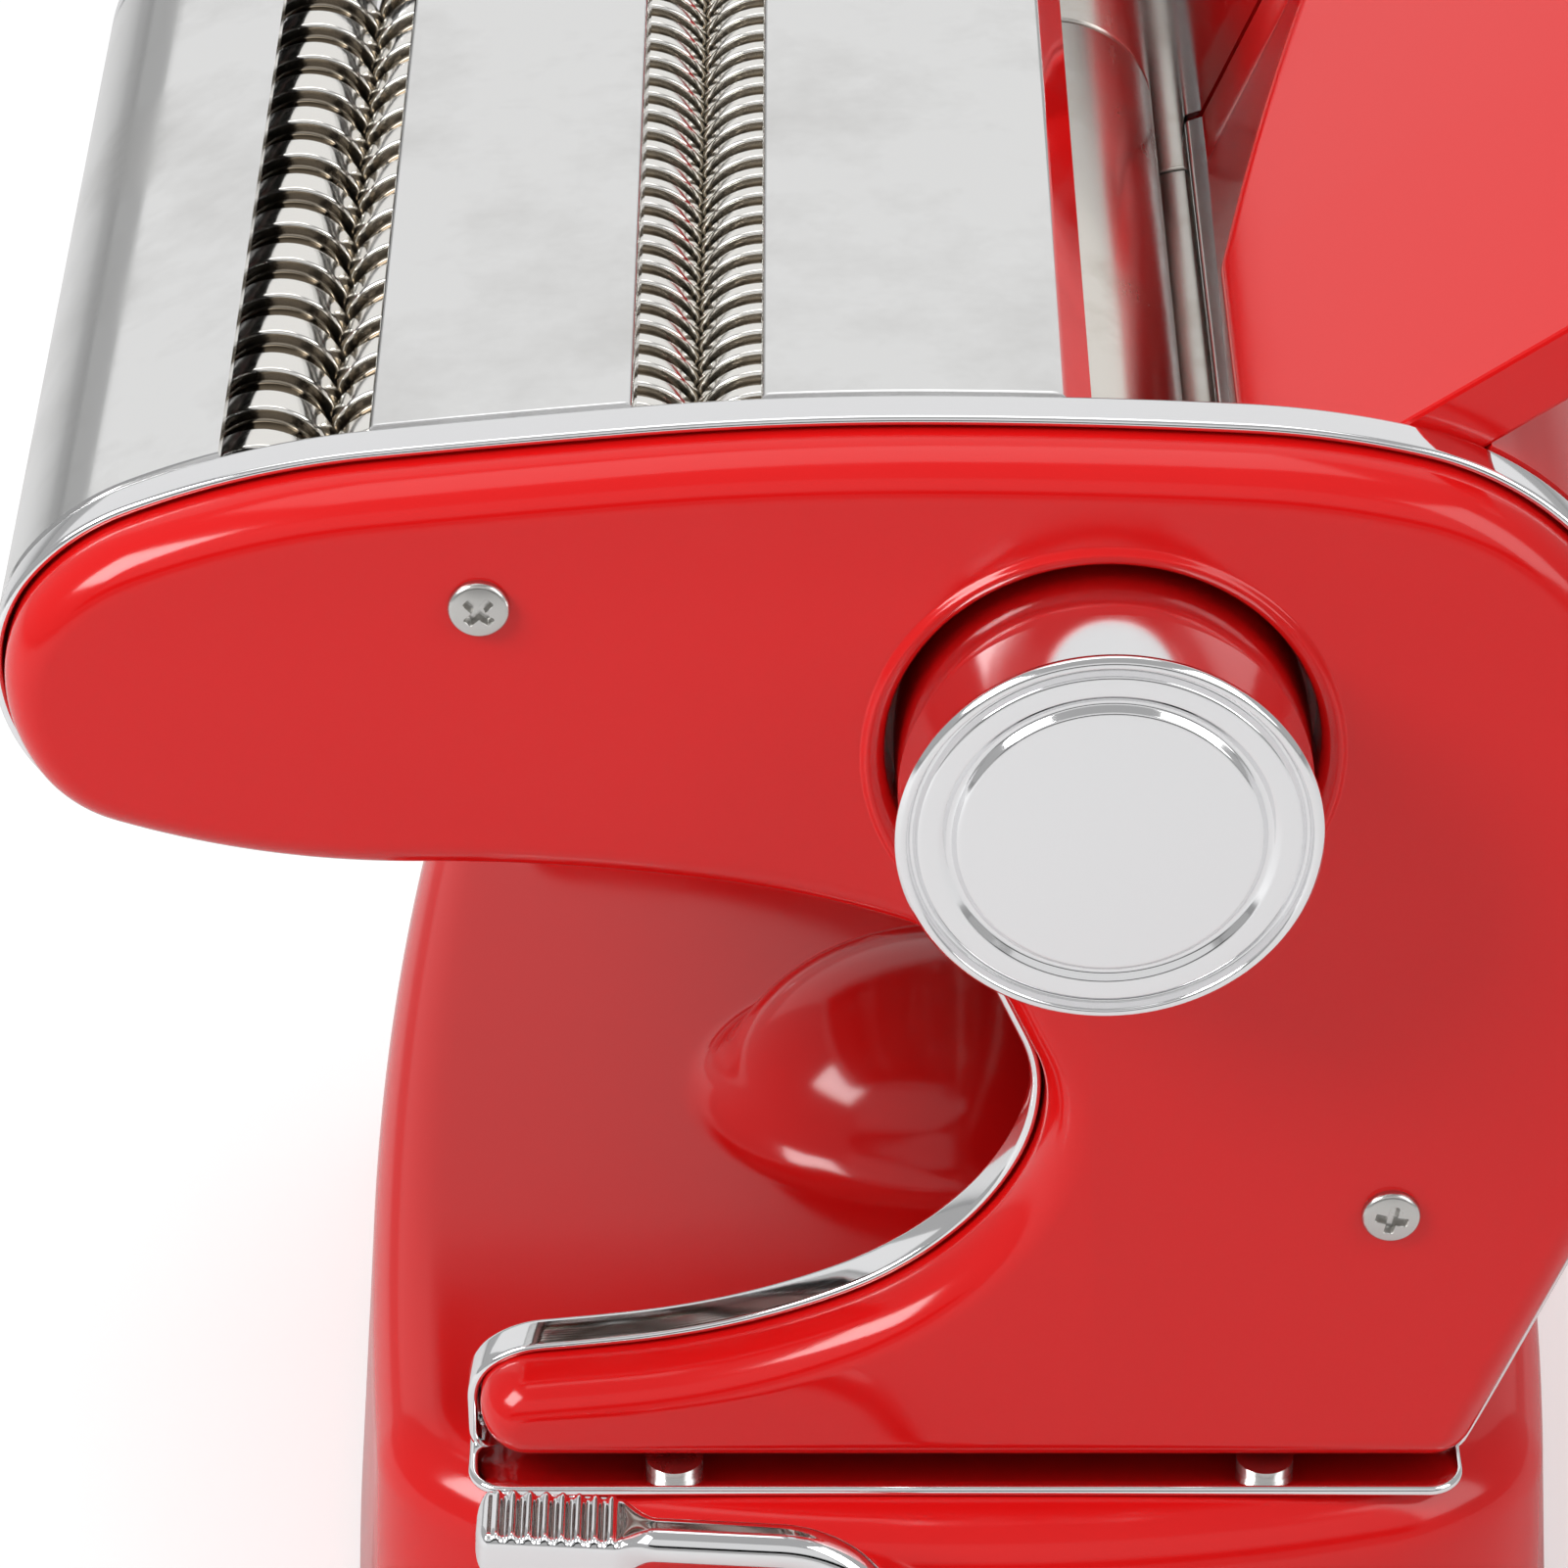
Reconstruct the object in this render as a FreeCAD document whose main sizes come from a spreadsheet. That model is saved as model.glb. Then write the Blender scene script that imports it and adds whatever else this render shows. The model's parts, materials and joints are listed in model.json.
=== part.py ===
import FreeCAD, Part
import math
import os
from FreeCAD import Placement, Rotation, Vector

# Hand-cranked pasta roller machine on a suction base, in millimetres.
# The origin is on the table under the middle of the base, with +Z up.
# +Y runs along the rollers from the thickness knob to the crank, and +X points to the dough tray.
# Heights that end in _h are measured from the deck, which is the flat top of the base.

SIZES = {
    # base
    "foot_height": 4.0, "foot_radius": 9.0, "foot_inset_x": 56.0, "foot_inset_y": 70.0,
    "base_height": 49.0, "base_width": 153.4, "base_length": 190.4, "base_wall": 3.0,
    "base_side_bow": 3.0, "base_front_bow": 6.7, "base_corner": 22.0, "base_draft": 4.0,
    "base_round": 7.0, "floor_wall": 2.5, "floor_gap": 0.3,
    "dome_half_x": 30.0, "dome_half_y": 24.0, "dome_rise": 20.0,
    # side profile from the heel over the back, the head and the throat to the toe, headings in degrees
    "heel_x": 59.4, "hip_x": 70.6, "hip_h": 28.4,
    "back_x": 84.5, "back_h": 85.0, "back_way": 90.0,
    "shoulder_x": 64.4, "shoulder_h": 129.3, "shoulder_way": 136.0,
    "crown_x": 28.6, "crown_h": 141.5, "crown_way": 176.8,
    "brow_x": -37.7, "brow_h": 141.1, "brow_way": 185.3,
    "bridge_x": -93.0, "bridge_h": 131.2, "bridge_way": 202.6,
    "nose_x": -108.6, "nose_h": 110.5, "nose_way": 270.0,
    "jaw_x": -96.5, "jaw_h": 91.6, "jaw_way": 340.7,
    "chin_x": -27.9, "chin_h": 83.2, "chin_way": 350.6,
    "throat_x": 2.9, "throat_h": 66.8, "throat_way": 294.0,
    "gullet_x": 7.1, "gullet_h": 54.0, "gullet_way": 270.0,
    "lip_x": -0.4, "lip_h": 35.7, "lip_way": 229.0,
    "ramp_x": -32.0, "ramp_h": 19.2, "ramp_way": 192.4,
    "instep_x": -50.0, "instep_h": 16.6, "instep_way": 186.0,
    "toe_x": -58.9, "toe_h": 8.4, "toe_way": 270.0,
    "plate_corner": 3.0, "cover_corner": 6.4,
    # end plates and side covers
    "roller_length": 140.0, "plate_wall": 1.2, "rim_depth": 6.0, "flange_reach": 14.1,
    "cover_depth": 13.4, "cover_gap": 0.4, "cover_lift": 1.7, "cover_wall": 2.0, "cover_round": 4.2,
    "screw_a_x": -54.3, "screw_a_h": 123.2, "screw_b_x": 48.5, "screw_b_h": 41.4,
    "screw_head": 3.4, "screw_crown": 2.55, "screw_shank": 1.5, "screw_boss": 3.3,
    "screw_length": 13.2, "screw_head_wall": 1.4,
    "far_screw_a_x": -50.0, "far_screw_a_h": 116.0, "far_screw_b_x": 48.5, "far_screw_b_h": 41.4,
    "foot_screw_a": -34.3, "foot_screw_b": 35.8, "foot_screw_reach": 9.4, "foot_screw_length": 6.0,
    "rod_radius": 3.5, "rod_thread": 2.0, "nut_flats": 7.0, "nut_height": 3.0,
    "rod_a_x": -95.0, "rod_a_h": 112.0, "rod_b_x": -50.0, "rod_b_h": 104.0,
    "rod_c_x": 66.0, "rod_c_h": 105.0, "rod_d_x": 57.0, "rod_d_h": 22.0,
    # steel sheets over the head
    "sheet_wall": 0.8, "wide_slot_left": -82.9, "wide_slot_right": -66.8,
    "fine_slot_left": -37.7, "fine_slot_right": -24.0,
    "feed_slot_left": 8.4, "feed_lip": 6.2, "feed_lip_angle": 48.0,
    # dough tray and back cover
    "tray_x": 44.8, "tray_h": 137.3, "tray_angle": 34.6, "tray_wall": 2.4, "tray_side": 7.8,
    "tray_bend_x": 29.7, "tray_lip": 24.0, "tray_lip_angle": 84.0, "tray_reach": 78.0, "tray_gap": 0.4,
    "tray_bend_radius": 6.0, "back_wall": 2.2,
    # dough rollers
    "drive_x": 32.1, "drive_h": 83.3, "pair_angle": 48.4, "roller_radius": 13.2,
    "gap_open": 2.2, "gap_travel": 2.0, "roller_end": 0.35, "drive_shaft": 6.0, "adjust_shaft": 5.0,
    "bush_wall": 2.4, "bush_flange": 1.4, "bush_flange_wall": 1.0, "fit": 0.04,
    "socket_flats": 5.5, "socket_depth": 14.0, "port_radius": 8.0,
    "drive_blade_angle": 208.0, "adjust_blade_angle": 215.0, "comb_angle": 40.0,
    # cutter pairs
    "wide_x": -72.1, "wide_h": 122.3, "wide_pitch": 8.7, "fine_x": -30.9, "fine_h": 127.8,
    "fine_pitch": 4.7, "cutter_spacing": 14.6, "ring_radius": 8.0, "ring_gap": 0.4, "ring_side": 0.25,
    "cutter_shaft": 4.5, "cutter_bush_wall": 1.5, "cutter_bush_flange": 0.9,
    # gears
    "gear_teeth": 12.0, "gear_width": 7.0, "gear_gap": 0.4, "gear_backlash": 0.35, "pressure": 25.0,
    "gear_tip": 0.8, "gear_root": 1.05, "shaft_end": 9.8,
    # sliding bearings of the upper dough roller
    "block_length": 20.0, "block_width": 16.0, "block_flange": 1.2, "block_flange_wall": 2.0,
    "block_depth": 10.0, "bore_depth": 6.3, "cam_depth": 2.8, "far_block_wall": 0.9,
    "block_slide": 0.1, "slot_room": 0.3,
    # thickness knob
    "knob_radius": 23.25, "knob_front": 30.6, "knob_skirt": 14.4, "knob_wall": 1.3, "knob_hole_gap": 0.65,
    "knob_rim": 2.0, "knob_groove": 0.8, "knob_disc": 17.5, "knob_hub": 8.0,
    "knob_swing": 120.0, "knob_shaft": 4.0, "cam_radius": 2.5, "cam_room": 0.2, "cam_collar": 7.5,
    "index_radius": 17.2, "index_wall": 1.2, "index_depth": 12.0, "collar_wall": 1.4, "settings": 7.0,
    "detent_circle": 12.5, "detent_pin": 1.3, "detent_gap": 0.3, "dimple_depth": 0.6,
    "blade_wall": 1.2, "blade_reach": 8.0, "blade_gap": 0.45,
    # crank
    "crank_reach": 92.0, "crank_plane": 19.0, "crank_wall": 5.0, "crank_width": 14.0, "crank_neck": 5.0,
    "hex_gap": 0.1, "grip_length": 72.0, "grip_radius": 11.0, "grip_waist": 8.5, "grip_pin": 4.0,
    "grip_end": 1.0, "grip_gap": 0.3, "rivet_radius": 3.0, "crank_end": 1.0,
    # suction lever and pad
    "lever_h": -21.3, "lever_gap": 3.2, "lever_wall": 6.0, "lever_rod": 3.0, "lever_hub": 8.0,
    "lever_knee_x": -7.0, "lever_knee_h": -6.0, "lever_top_x": -22.0, "lever_top_h": 7.0,
    "lever_tip_x": -54.0, "lever_tip_h": 9.0, "thumb_length": 18.0, "thumb_width": 9.0, "thumb_wall": 6.0,
    "lever_swing": 120.0, "lever_shaft": 5.0, "lever_journal": 4.0, "lever_lift": 4.0, "journal_length": 20.0,
    "journal_room": 0.25, "lug_wall": 4.0, "lug_width": 18.0, "floor_room": 2.0,
    "pad_radius": 46.0, "pad_wall": 4.5, "pad_lip": 2.0, "stem_plate": 20.0,
    "stem_plate_wall": 2.5, "stem_x": 24.0, "stem_y": 14.0,
}

doc = FreeCAD.newDocument("pasta_roller_machine")
sheet = doc.addObject("Spreadsheet::Sheet", "sizes")
for row, (alias, number) in enumerate(SIZES.items(), start=1):
    sheet.set("A%d" % row, alias)
    sheet.set("B%d" % row, str(number))
    sheet.setAlias("B%d" % row, alias)
doc.recompute()

# Places that several pieces share, worked out from the sheet.
PLACES = {
    "half": "sizes.roller_length / 2",
    "deck": "(sizes.foot_height + sizes.base_height)",
    "plate_out": "(sizes.roller_length / 2 + sizes.plate_wall)",
    "cover_out": "(sizes.roller_length / 2 + sizes.cover_depth)",
    "rim_out": "(sizes.roller_length / 2 + sizes.rim_depth)",
    "gear_in": "(sizes.roller_length / 2 + sizes.plate_wall + sizes.bush_flange_wall + sizes.gear_gap)",
    "shaft_out": "(sizes.roller_length / 2 + sizes.plate_wall + sizes.shaft_end)",
    "nip_open": "(2 * sizes.roller_radius + sizes.gap_open)",
}
PLACES["drive_z"] = PLACES["deck"] + " + sizes.drive_h"
PLACES["adjust_x"] = "(sizes.drive_x - %s * cos(sizes.pair_angle * 1deg))" % PLACES["nip_open"]
PLACES["adjust_z"] = "(%s + %s * sin(sizes.pair_angle * 1deg))" % (PLACES["drive_z"], PLACES["nip_open"])
PLACES["knob_x"] = "(%s + sizes.gap_travel / 2 * cos(sizes.pair_angle * 1deg))" % PLACES["adjust_x"]
PLACES["knob_z"] = "(%s - sizes.gap_travel / 2 * sin(sizes.pair_angle * 1deg))" % PLACES["adjust_z"]
PLACES["wide_z"] = PLACES["deck"] + " + sizes.wide_h"
PLACES["fine_z"] = PLACES["deck"] + " + sizes.fine_h"
PLACES["lever_z"] = PLACES["deck"] + " + sizes.lever_h"


def value(expression):
    """Number that an expression over the sheet stands for."""
    result = sheet.evalExpression(expression)
    return float(getattr(result, "Value", result))


def size(alias):
    """Number in one cell of the sheet."""
    return float(sheet.get(alias))


def place(name):
    """Number of one shared place."""
    return value(PLACES[name])


def flat(x, z):
    """Point of a drawing in the XZ plane."""
    return Vector(x, 0, z)


def drawn(point):
    """Point of an XZ drawing as a point of a sketch."""
    return Vector(point.x, point.z, 0)


def line(start, end):
    """Straight edge."""
    return Part.LineSegment(start, end).toShape()


def arc(start, end, bow):
    """Arc between two points of an XZ drawing; a positive bow swells to the right of the way along."""
    chord = end - start
    normal = Vector(chord.z, 0, -chord.x).normalize()
    middle = (start + end) * 0.5 + normal * bow
    return Part.Arc(start, middle, end).toShape()


def loop(points):
    """Closed wire of straight edges."""
    return Part.Wire([line(a, b) for a, b in zip(points, points[1:] + points[:1])])


def circle(x, z, radius):
    """Full circle of an XZ drawing."""
    return Part.Wire([Part.Circle(flat(x, z), Vector(0, 1, 0), radius).toShape()])


def polygon(x, z, flats, sides=6):
    """Regular polygon given by the distance across its flats."""
    corner = flats / 2 / math.cos(math.pi / sides)
    turns = [2 * math.pi * k / sides for k in range(sides)]
    return loop([flat(x + corner * math.cos(t), z + corner * math.sin(t)) for t in turns])


def box_outline(x0, z0, x1, z1):
    """Rectangle of an XZ drawing."""
    return loop([flat(x0, z0), flat(x1, z0), flat(x1, z1), flat(x0, z1)])


def tilted_box(x, z, length, width, angle):
    """Rectangle about a centre, its length turned by an angle in degrees from +X towards -Z."""
    along = flat(math.cos(math.radians(angle)), -math.sin(math.radians(angle)))
    across = flat(math.sin(math.radians(angle)), math.cos(math.radians(angle)))
    corners = [(-1, -1), (1, -1), (1, 1), (-1, 1)]
    return loop([flat(x, z) + along * (a * length / 2) + across * (b * width / 2) for a, b in corners])


def stadium(start, end, radius):
    """Straight bar with round ends about two centres."""
    along = (end - start).normalize() * radius
    across = Vector(-along.z, 0, along.x)
    left, right = [start + across, end + across], [end - across, start - across]
    edges = [line(*left), Part.Arc(left[1], end + along, right[0]).toShape(), line(*right)]
    return Part.Wire(edges + [Part.Arc(right[1], start - along, left[0]).toShape()])


def strip(edges, wall):
    """Closed outline of a bent sheet, from the edges of its outer side and its wall."""
    return Part.Wire(edges).makeOffset2D(wall, 0, True, True).OuterWire


def new_body(label):
    """Empty body."""
    body = doc.addObject("PartDesign::Body", label)
    body.Label = label
    return body


def new_sketch(body, role, wires, offset=None):
    """Sketch on one of the body's own planes; the wires' X and Z are its two directions."""
    sketch = body.newObject("Sketcher::SketchObject", body.Label + "_sketch")
    plane = [item for item in body.Origin.OriginFeatures if item.Role == role][0]
    sketch.AttachmentSupport = [(plane, "")]
    sketch.MapMode = "FlatFace"
    if offset:
        sketch.setExpression("AttachmentOffset.Base.z", offset)
    for wire in wires:
        for edge in wire.Edges:
            first, last = edge.ParameterRange
            start, end = drawn(edge.valueAt(first)), drawn(edge.valueAt(last))
            middle = drawn(edge.valueAt((first + last) / 2))
            if isinstance(edge.Curve, Part.Line):
                sketch.addGeometry(Part.LineSegment(start, end), False)
            elif start.distanceToPoint(end) < 1e-6:
                centre = (start + middle) * 0.5
                sketch.addGeometry(Part.Circle(centre, Vector(0, 0, 1), edge.Curve.Radius), False)
            else:
                sketch.addGeometry(Part.Arc(start, middle, end), False)
    return sketch


def pad(body, wires, start, length):
    """Adds a prism of XZ wires from Y = start, length long towards +Y."""
    feature = body.newObject("PartDesign::Pad", body.Label + "_pad")
    feature.Profile = new_sketch(body, "XZ_Plane", wires, "-(%s)" % start)
    feature.Reversed = True
    feature.setExpression("Length", length)
    return feature


def pocket(body, wires, start, length):
    """Cuts a prism of XZ wires from Y = start, length deep towards +Y."""
    feature = body.newObject("PartDesign::Pocket", body.Label + "_pocket")
    feature.Profile = new_sketch(body, "XZ_Plane", wires, "-(%s)" % start)
    feature.setExpression("Length", length)
    return feature


def rise(body, wires, start, length, draft=None):
    """Adds a prism of XY wires from Z = start, length tall."""
    feature = body.newObject("PartDesign::Pad", body.Label + "_rise")
    feature.Profile = new_sketch(body, "XY_Plane", wires, start)
    feature.setExpression("Length", length)
    if draft:
        feature.setExpression("TaperAngle", draft)
    return feature


def sink(body, wires, start, length):
    """Cuts a prism of XY wires from Z = start, length deep upwards."""
    feature = body.newObject("PartDesign::Pocket", body.Label + "_sink")
    feature.Profile = new_sketch(body, "XY_Plane", wires, start)
    feature.Reversed = True
    feature.setExpression("Length", length)
    return feature


def round_edges(body, base, radius, chosen):
    """Fillets the edges of a feature that the chosen test picks."""
    doc.recompute()
    names = ["Edge%d" % (k + 1) for k, edge in enumerate(base.Shape.Edges) if chosen(edge)]
    fillet = body.newObject("PartDesign::Fillet", body.Label + "_round")
    fillet.Base = (base, names)
    fillet.setExpression("Radius", radius)
    return fillet


def turned(label, profile, x, z):
    """Piece turned about a line along Y; the profile is a wire or a list of (radius, y) pairs."""
    body = new_body(label)
    if isinstance(profile, list):
        profile = loop([flat(radius, y) for radius, y in profile])
    feature = body.newObject("PartDesign::Revolution", label + "_turn")
    sketch = new_sketch(body, "XY_Plane", [profile])
    feature.Profile = sketch
    feature.ReferenceAxis = (sketch, ["V_Axis"])
    feature.Angle = 360
    body.setExpression("Placement.Base.x", x)
    body.setExpression("Placement.Base.z", z)
    return body


def cut(label, base, tools):
    """One piece with the tools taken away from it."""
    bundle = doc.addObject("Part::Compound", label + "_tools")
    bundle.Links = tools
    result = doc.addObject("Part::Cut", label)
    result.Base = base
    result.Tool = bundle
    result.Label = label
    return result


def join(label, pieces):
    """One solid made of several."""
    result = doc.addObject("Part::MultiFuse", label)
    result.Shapes = pieces
    result.Label = label
    return result


def group(label, pieces):
    """Separate solids that share one node."""
    result = doc.addObject("Part::Compound", label)
    result.Links = pieces
    result.Label = label
    return result


def peg(label, radius, length, x, y, z, axis=Vector(0, 0, 1)):
    """Cylinder whose sizes and place are bound to the sheet."""
    shape = doc.addObject("Part::Cylinder", label)
    shape.setExpression("Radius", radius)
    shape.setExpression("Height", length)
    shape.Placement = Placement(Vector(), Rotation(Vector(0, 0, 1), axis))
    for letter, expression in zip("xyz", (x, y, z)):
        shape.setExpression("Placement.Base." + letter, expression)
    return shape


ALONG = Vector(0, 1, 0)
HALF, DECK = PLACES["half"], PLACES["deck"]
half, deck = place("half"), place("deck")
plate_out, cover_out, rim_out = place("plate_out"), place("cover_out"), place("rim_out")
gear_in, shaft_out = place("gear_in"), place("shaft_out")
FINISHED = []


def finish(piece):
    """Adds a piece to those that are written out."""
    FINISHED.append(piece)
    return piece


PROFILE = ["hip", "back", "shoulder", "crown", "brow", "bridge", "nose", "jaw", "chin", "throat", "gullet",
           "lip", "ramp", "instep", "toe"]


def station(name):
    """Named point of the side profile."""
    return flat(size(name + "_x"), deck + size(name + "_h"))


def heading(name):
    """Direction of the profile at a station."""
    if name == "hip":
        return (station("hip") - flat(size("heel_x"), deck)).normalize()
    turn = math.radians(size(name + "_way"))
    return flat(math.cos(turn), math.sin(turn))


def two_arcs(start, leave, end, arrive):
    """Pair of tangent arcs from a point and heading to another point and heading."""
    chord, both = end - start, leave + arrive
    a = 2 * (1 - leave.dot(arrive))
    b = 2 * chord.dot(both)
    if abs(a) < 1e-9:
        reach = chord.dot(chord) / b
    else:
        reach = (math.sqrt(b * b + 4 * a * chord.dot(chord)) - b) / (2 * a)
    joint = ((start + leave * reach) + (end - arrive * reach)) * 0.5
    return [tangent_arc(start, leave, joint), tangent_arc(end, arrive * -1, joint, True)]


def tangent_arc(start, leave, end, backwards=False):
    """Arc that leaves a point along a heading and reaches another point."""
    chord = end - start
    normal = Vector(-leave.z, 0, leave.x)
    height = chord.dot(normal)
    if abs(height) < 1e-6:
        return line(end, start) if backwards else line(start, end)
    radius = chord.dot(chord) / (2 * height)
    centre = start + normal * radius
    away = (start + end) * 0.5 - centre
    if chord.dot(leave) < 0:
        away = away * -1
    middle = centre + away.normalize() * abs(radius)
    return Part.Arc(end, middle, start).toShape() if backwards else Part.Arc(start, middle, end).toShape()


def corner(before, here, after, radius):
    """Tangent points and arc that round the corner between two straight runs."""
    back, on = (before - here).normalize(), (after - here).normalize()
    half_angle = math.acos(back.dot(on)) / 2
    trim = radius / math.tan(half_angle)
    start, end = here + back * trim, here + on * trim
    return start, end, tangent_arc(start, back * -1, end)


def profile_edges(first, last):
    """Smooth profile edges from one station to another."""
    names = PROFILE[PROFILE.index(first):PROFILE.index(last) + 1]
    edges = []
    for start, end in zip(names, names[1:]):
        edges += two_arcs(station(start), heading(start), station(end), heading(end))
    return edges


def side_outline(inset=0.0, lift=0.0, round_radius="plate_corner"):
    """Closed side profile above the deck, drawn in by an inset and raised at the foot by a lift."""
    heel = flat(size("heel_x"), deck)
    hip = station("hip")
    heel = heel + (hip - heel) * (lift / (hip.z - heel.z))
    sole = flat(size("toe_x"), deck + lift)
    toe_end, sole_start, toe_arc = corner(station("toe"), sole, heel, size(round_radius))
    sole_end, heel_start, heel_arc = corner(sole, heel, hip, size(round_radius))
    edges = [line(heel_start, hip)] + profile_edges("hip", "toe")
    if (station("toe") - toe_end).Length > 1e-3:
        edges.append(line(station("toe"), toe_end))
    edges += [toe_arc, line(sole_start, sole_end), heel_arc]
    wire = Part.Wire(edges)
    return wire.makeOffset2D(-inset) if inset else wire


CUTTERS = [("wide", "drive", 1), ("wide", "follower", -1), ("fine", "drive", 1), ("fine", "follower", -1)]
SCREWS = {"near": ["screw_a", "screw_b"], "far": ["far_screw_a", "far_screw_b"]}
RODS = ["rod_a", "rod_b", "rod_c", "rod_d"]
FOOT_SCREWS = ["foot_screw_a", "foot_screw_b"]


def screw_holes(end, radius):
    """Circles at the two screws of a side cover."""
    return [circle(size(name + "_x"), deck + size(name + "_h"), radius) for name in SCREWS[end]]


ENDS = {"near": -1, "far": 1}


def cutter_x(name, side):
    """Expression for the X of one cutter roller."""
    return "sizes.%s_x + %d * sizes.cutter_spacing / 2" % (name, side)


def bush_radii(shaft, wall):
    """Bore, outside and flange radii of a bush for a shaft."""
    bore = size(shaft) + size("fit")
    return bore, bore + size(wall)


def outward(end, near_distance, far_distance):
    """Start and length, along +Y, of a layer between two distances outward from the middle."""
    if end == "far":
        return near_distance, "(%s) - (%s)" % (far_distance, near_distance)
    return "-(%s)" % far_distance, "(%s) - (%s)" % (far_distance, near_distance)


def end_plate(end):
    """Pressed steel pan: a flat plate, a rim all round it and a foot flange screwed to the base."""
    body = new_body(end + "_plate_body")
    outline = side_outline()
    holes = []
    for name, _, side in CUTTERS:
        bush = bush_radii("cutter_shaft", "cutter_bush_wall")[1] + size("fit")
        holes.append(circle(value(cutter_x(name, side)), place(name + "_z"), bush))
    drive_bush = bush_radii("drive_shaft", "bush_wall")[1] + size("fit")
    holes.append(circle(size("drive_x"), place("drive_z"), drive_bush))
    for rod in RODS:
        holes.append(circle(size(rod + "_x"), deck + size(rod + "_h"), size("rod_thread") + size("fit")))
    holes += screw_holes(end, size("screw_shank") + size("fit"))
    length = size("block_length") + size("gap_travel") + 2 * size("slot_room")
    width = size("block_width") + 2 * size("block_slide")
    holes.append(tilted_box(place("knob_x"), place("knob_z"), length, width, size("pair_angle")))
    pad(body, [outline] + holes, *outward(end, HALF, PLACES["plate_out"]))
    pad(body, [side_outline(), side_outline(size("plate_wall"))], *outward(end, HALF, PLACES["rim_out"]))
    flange = box_outline(size("toe_x"), deck, size("heel_x"), deck + size("plate_wall"))
    pad(body, [flange], *outward(end, HALF, HALF + " + sizes.flange_reach"))
    drills = []
    for screw in FOOT_SCREWS:
        y = "%d * (%s + sizes.foot_screw_reach)" % (ENDS[end], HALF)
        drills.append(peg(end + screw, "sizes.screw_shank + sizes.fit", "4 * sizes.plate_wall",
                          "sizes." + screw, y, DECK + " - sizes.plate_wall"))
    return cut(end + "_end_plate", body, drills)


def side_cover(end):
    """Moulded shell that nests inside the rim of an end plate, with bosses for its two screws."""
    body = new_body(end + "_cover")
    inset = size("plate_wall") + size("cover_gap")
    if end == "near":
        ports = [(place("knob_x"), place("knob_z"), size("knob_radius") + size("knob_hole_gap"))]
    else:
        axes = [(value(cutter_x(name, 1)), place(name + "_z")) for name in ("wide", "fine")]
        axes.append((size("drive_x"), place("drive_z")))
        ports = [(x, z, size("port_radius")) for x, z in axes]
    openings = [circle(*port) for port in ports] + screw_holes(end, size("screw_shank") + size("fit"))
    outline = side_outline(inset, size("cover_lift"), "cover_corner")
    shell = pad(body, [outline] + openings, *outward(end, PLACES["plate_out"], PLACES["cover_out"]))
    front = ENDS[end] * cover_out

    def on_front_edge(edge):
        spans = edge.BoundBox
        if abs(spans.YMin - front) > 1e-4 or abs(spans.YMax - front) > 1e-4:
            return False
        return not (edge.isClosed() and isinstance(edge.Curve, Part.Circle))

    round_edges(body, shell, "sizes.cover_round", on_front_edge)
    cavity = side_outline(inset + size("cover_wall"), size("cover_lift"), "cover_corner")
    start, depth = outward(end, PLACES["plate_out"], PLACES["cover_out"] + " - sizes.cover_wall")
    pocket(body, [cavity] + screw_holes(end, size("screw_boss")), start, depth)
    return body


def cover_screws(end):
    """Round-headed screws that hold a side cover to its end plate."""
    sign = ENDS[end]
    head, shank = size("screw_head"), size("screw_shank")
    tip, top = cover_out - size("screw_length"), cover_out + size("screw_head_wall")
    profile = [(0, sign * tip), (shank, sign * tip), (shank, sign * cover_out), (head, sign * cover_out),
               (size("screw_crown"), sign * top), (0, sign * top)]
    screws = []
    for name in SCREWS[end]:
        screws.append(turned(end + name, profile, "sizes.%s_x" % name, DECK + " + sizes.%s_h" % name))
    return group(end + "_cover_screws", screws)


def foot_screws(end):
    """Screws that hold the foot flange of an end plate down to the base."""
    screws = []
    for name in FOOT_SCREWS:
        y = "%d * (%s + sizes.foot_screw_reach)" % (ENDS[end], HALF)
        top = DECK + " + sizes.plate_wall"
        head = peg(end + name + "_head", "sizes.screw_head", "sizes.screw_head_wall", "sizes." + name, y, top)
        shank = peg(end + name + "_shank", "sizes.screw_shank", "sizes.plate_wall + sizes.foot_screw_length",
                    "sizes." + name, y, DECK + " - sizes.foot_screw_length")
        screws.append(join(end + name + "_screw", [head, shank]))
    return group(end + "_foot_screws", screws)


def tie_rods():
    """Shouldered rods that hold the two end plates apart."""
    end = plate_out + size("nut_height") + size("rod_thread") / 2
    thread, rod = size("rod_thread"), size("rod_radius")
    profile = [(0, -end), (thread, -end), (thread, -half), (rod, -half), (rod, half), (thread, half),
               (thread, end), (0, end)]
    rods = [turned(name, profile, "sizes.%s_x" % name, DECK + " + sizes.%s_h" % name) for name in RODS]
    return group("tie_rods", rods)


def rod_nuts(end):
    """Hexagon nuts on the ends of the tie rods."""
    nuts = []
    for name in RODS:
        nut = new_body(end + name + "_nut")
        x, z = size(name + "_x"), deck + size(name + "_h")
        wires = [polygon(x, z, size("nut_flats")), circle(x, z, size("rod_thread") + size("fit"))]
        pad(nut, wires, *outward(end, PLACES["plate_out"], PLACES["plate_out"] + " + sizes.nut_height"))
        nuts.append(nut)
    return group(end + "_rod_nuts", nuts)


def head_sheet():
    """Thin steel skin over the whole head, from which the three top plates are cut."""
    body = new_body("head_sheet")
    pad(body, [strip(profile_edges("crown", "chin"), size("sheet_wall"))], "-" + HALF, "sizes.roller_length")
    return body


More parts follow.
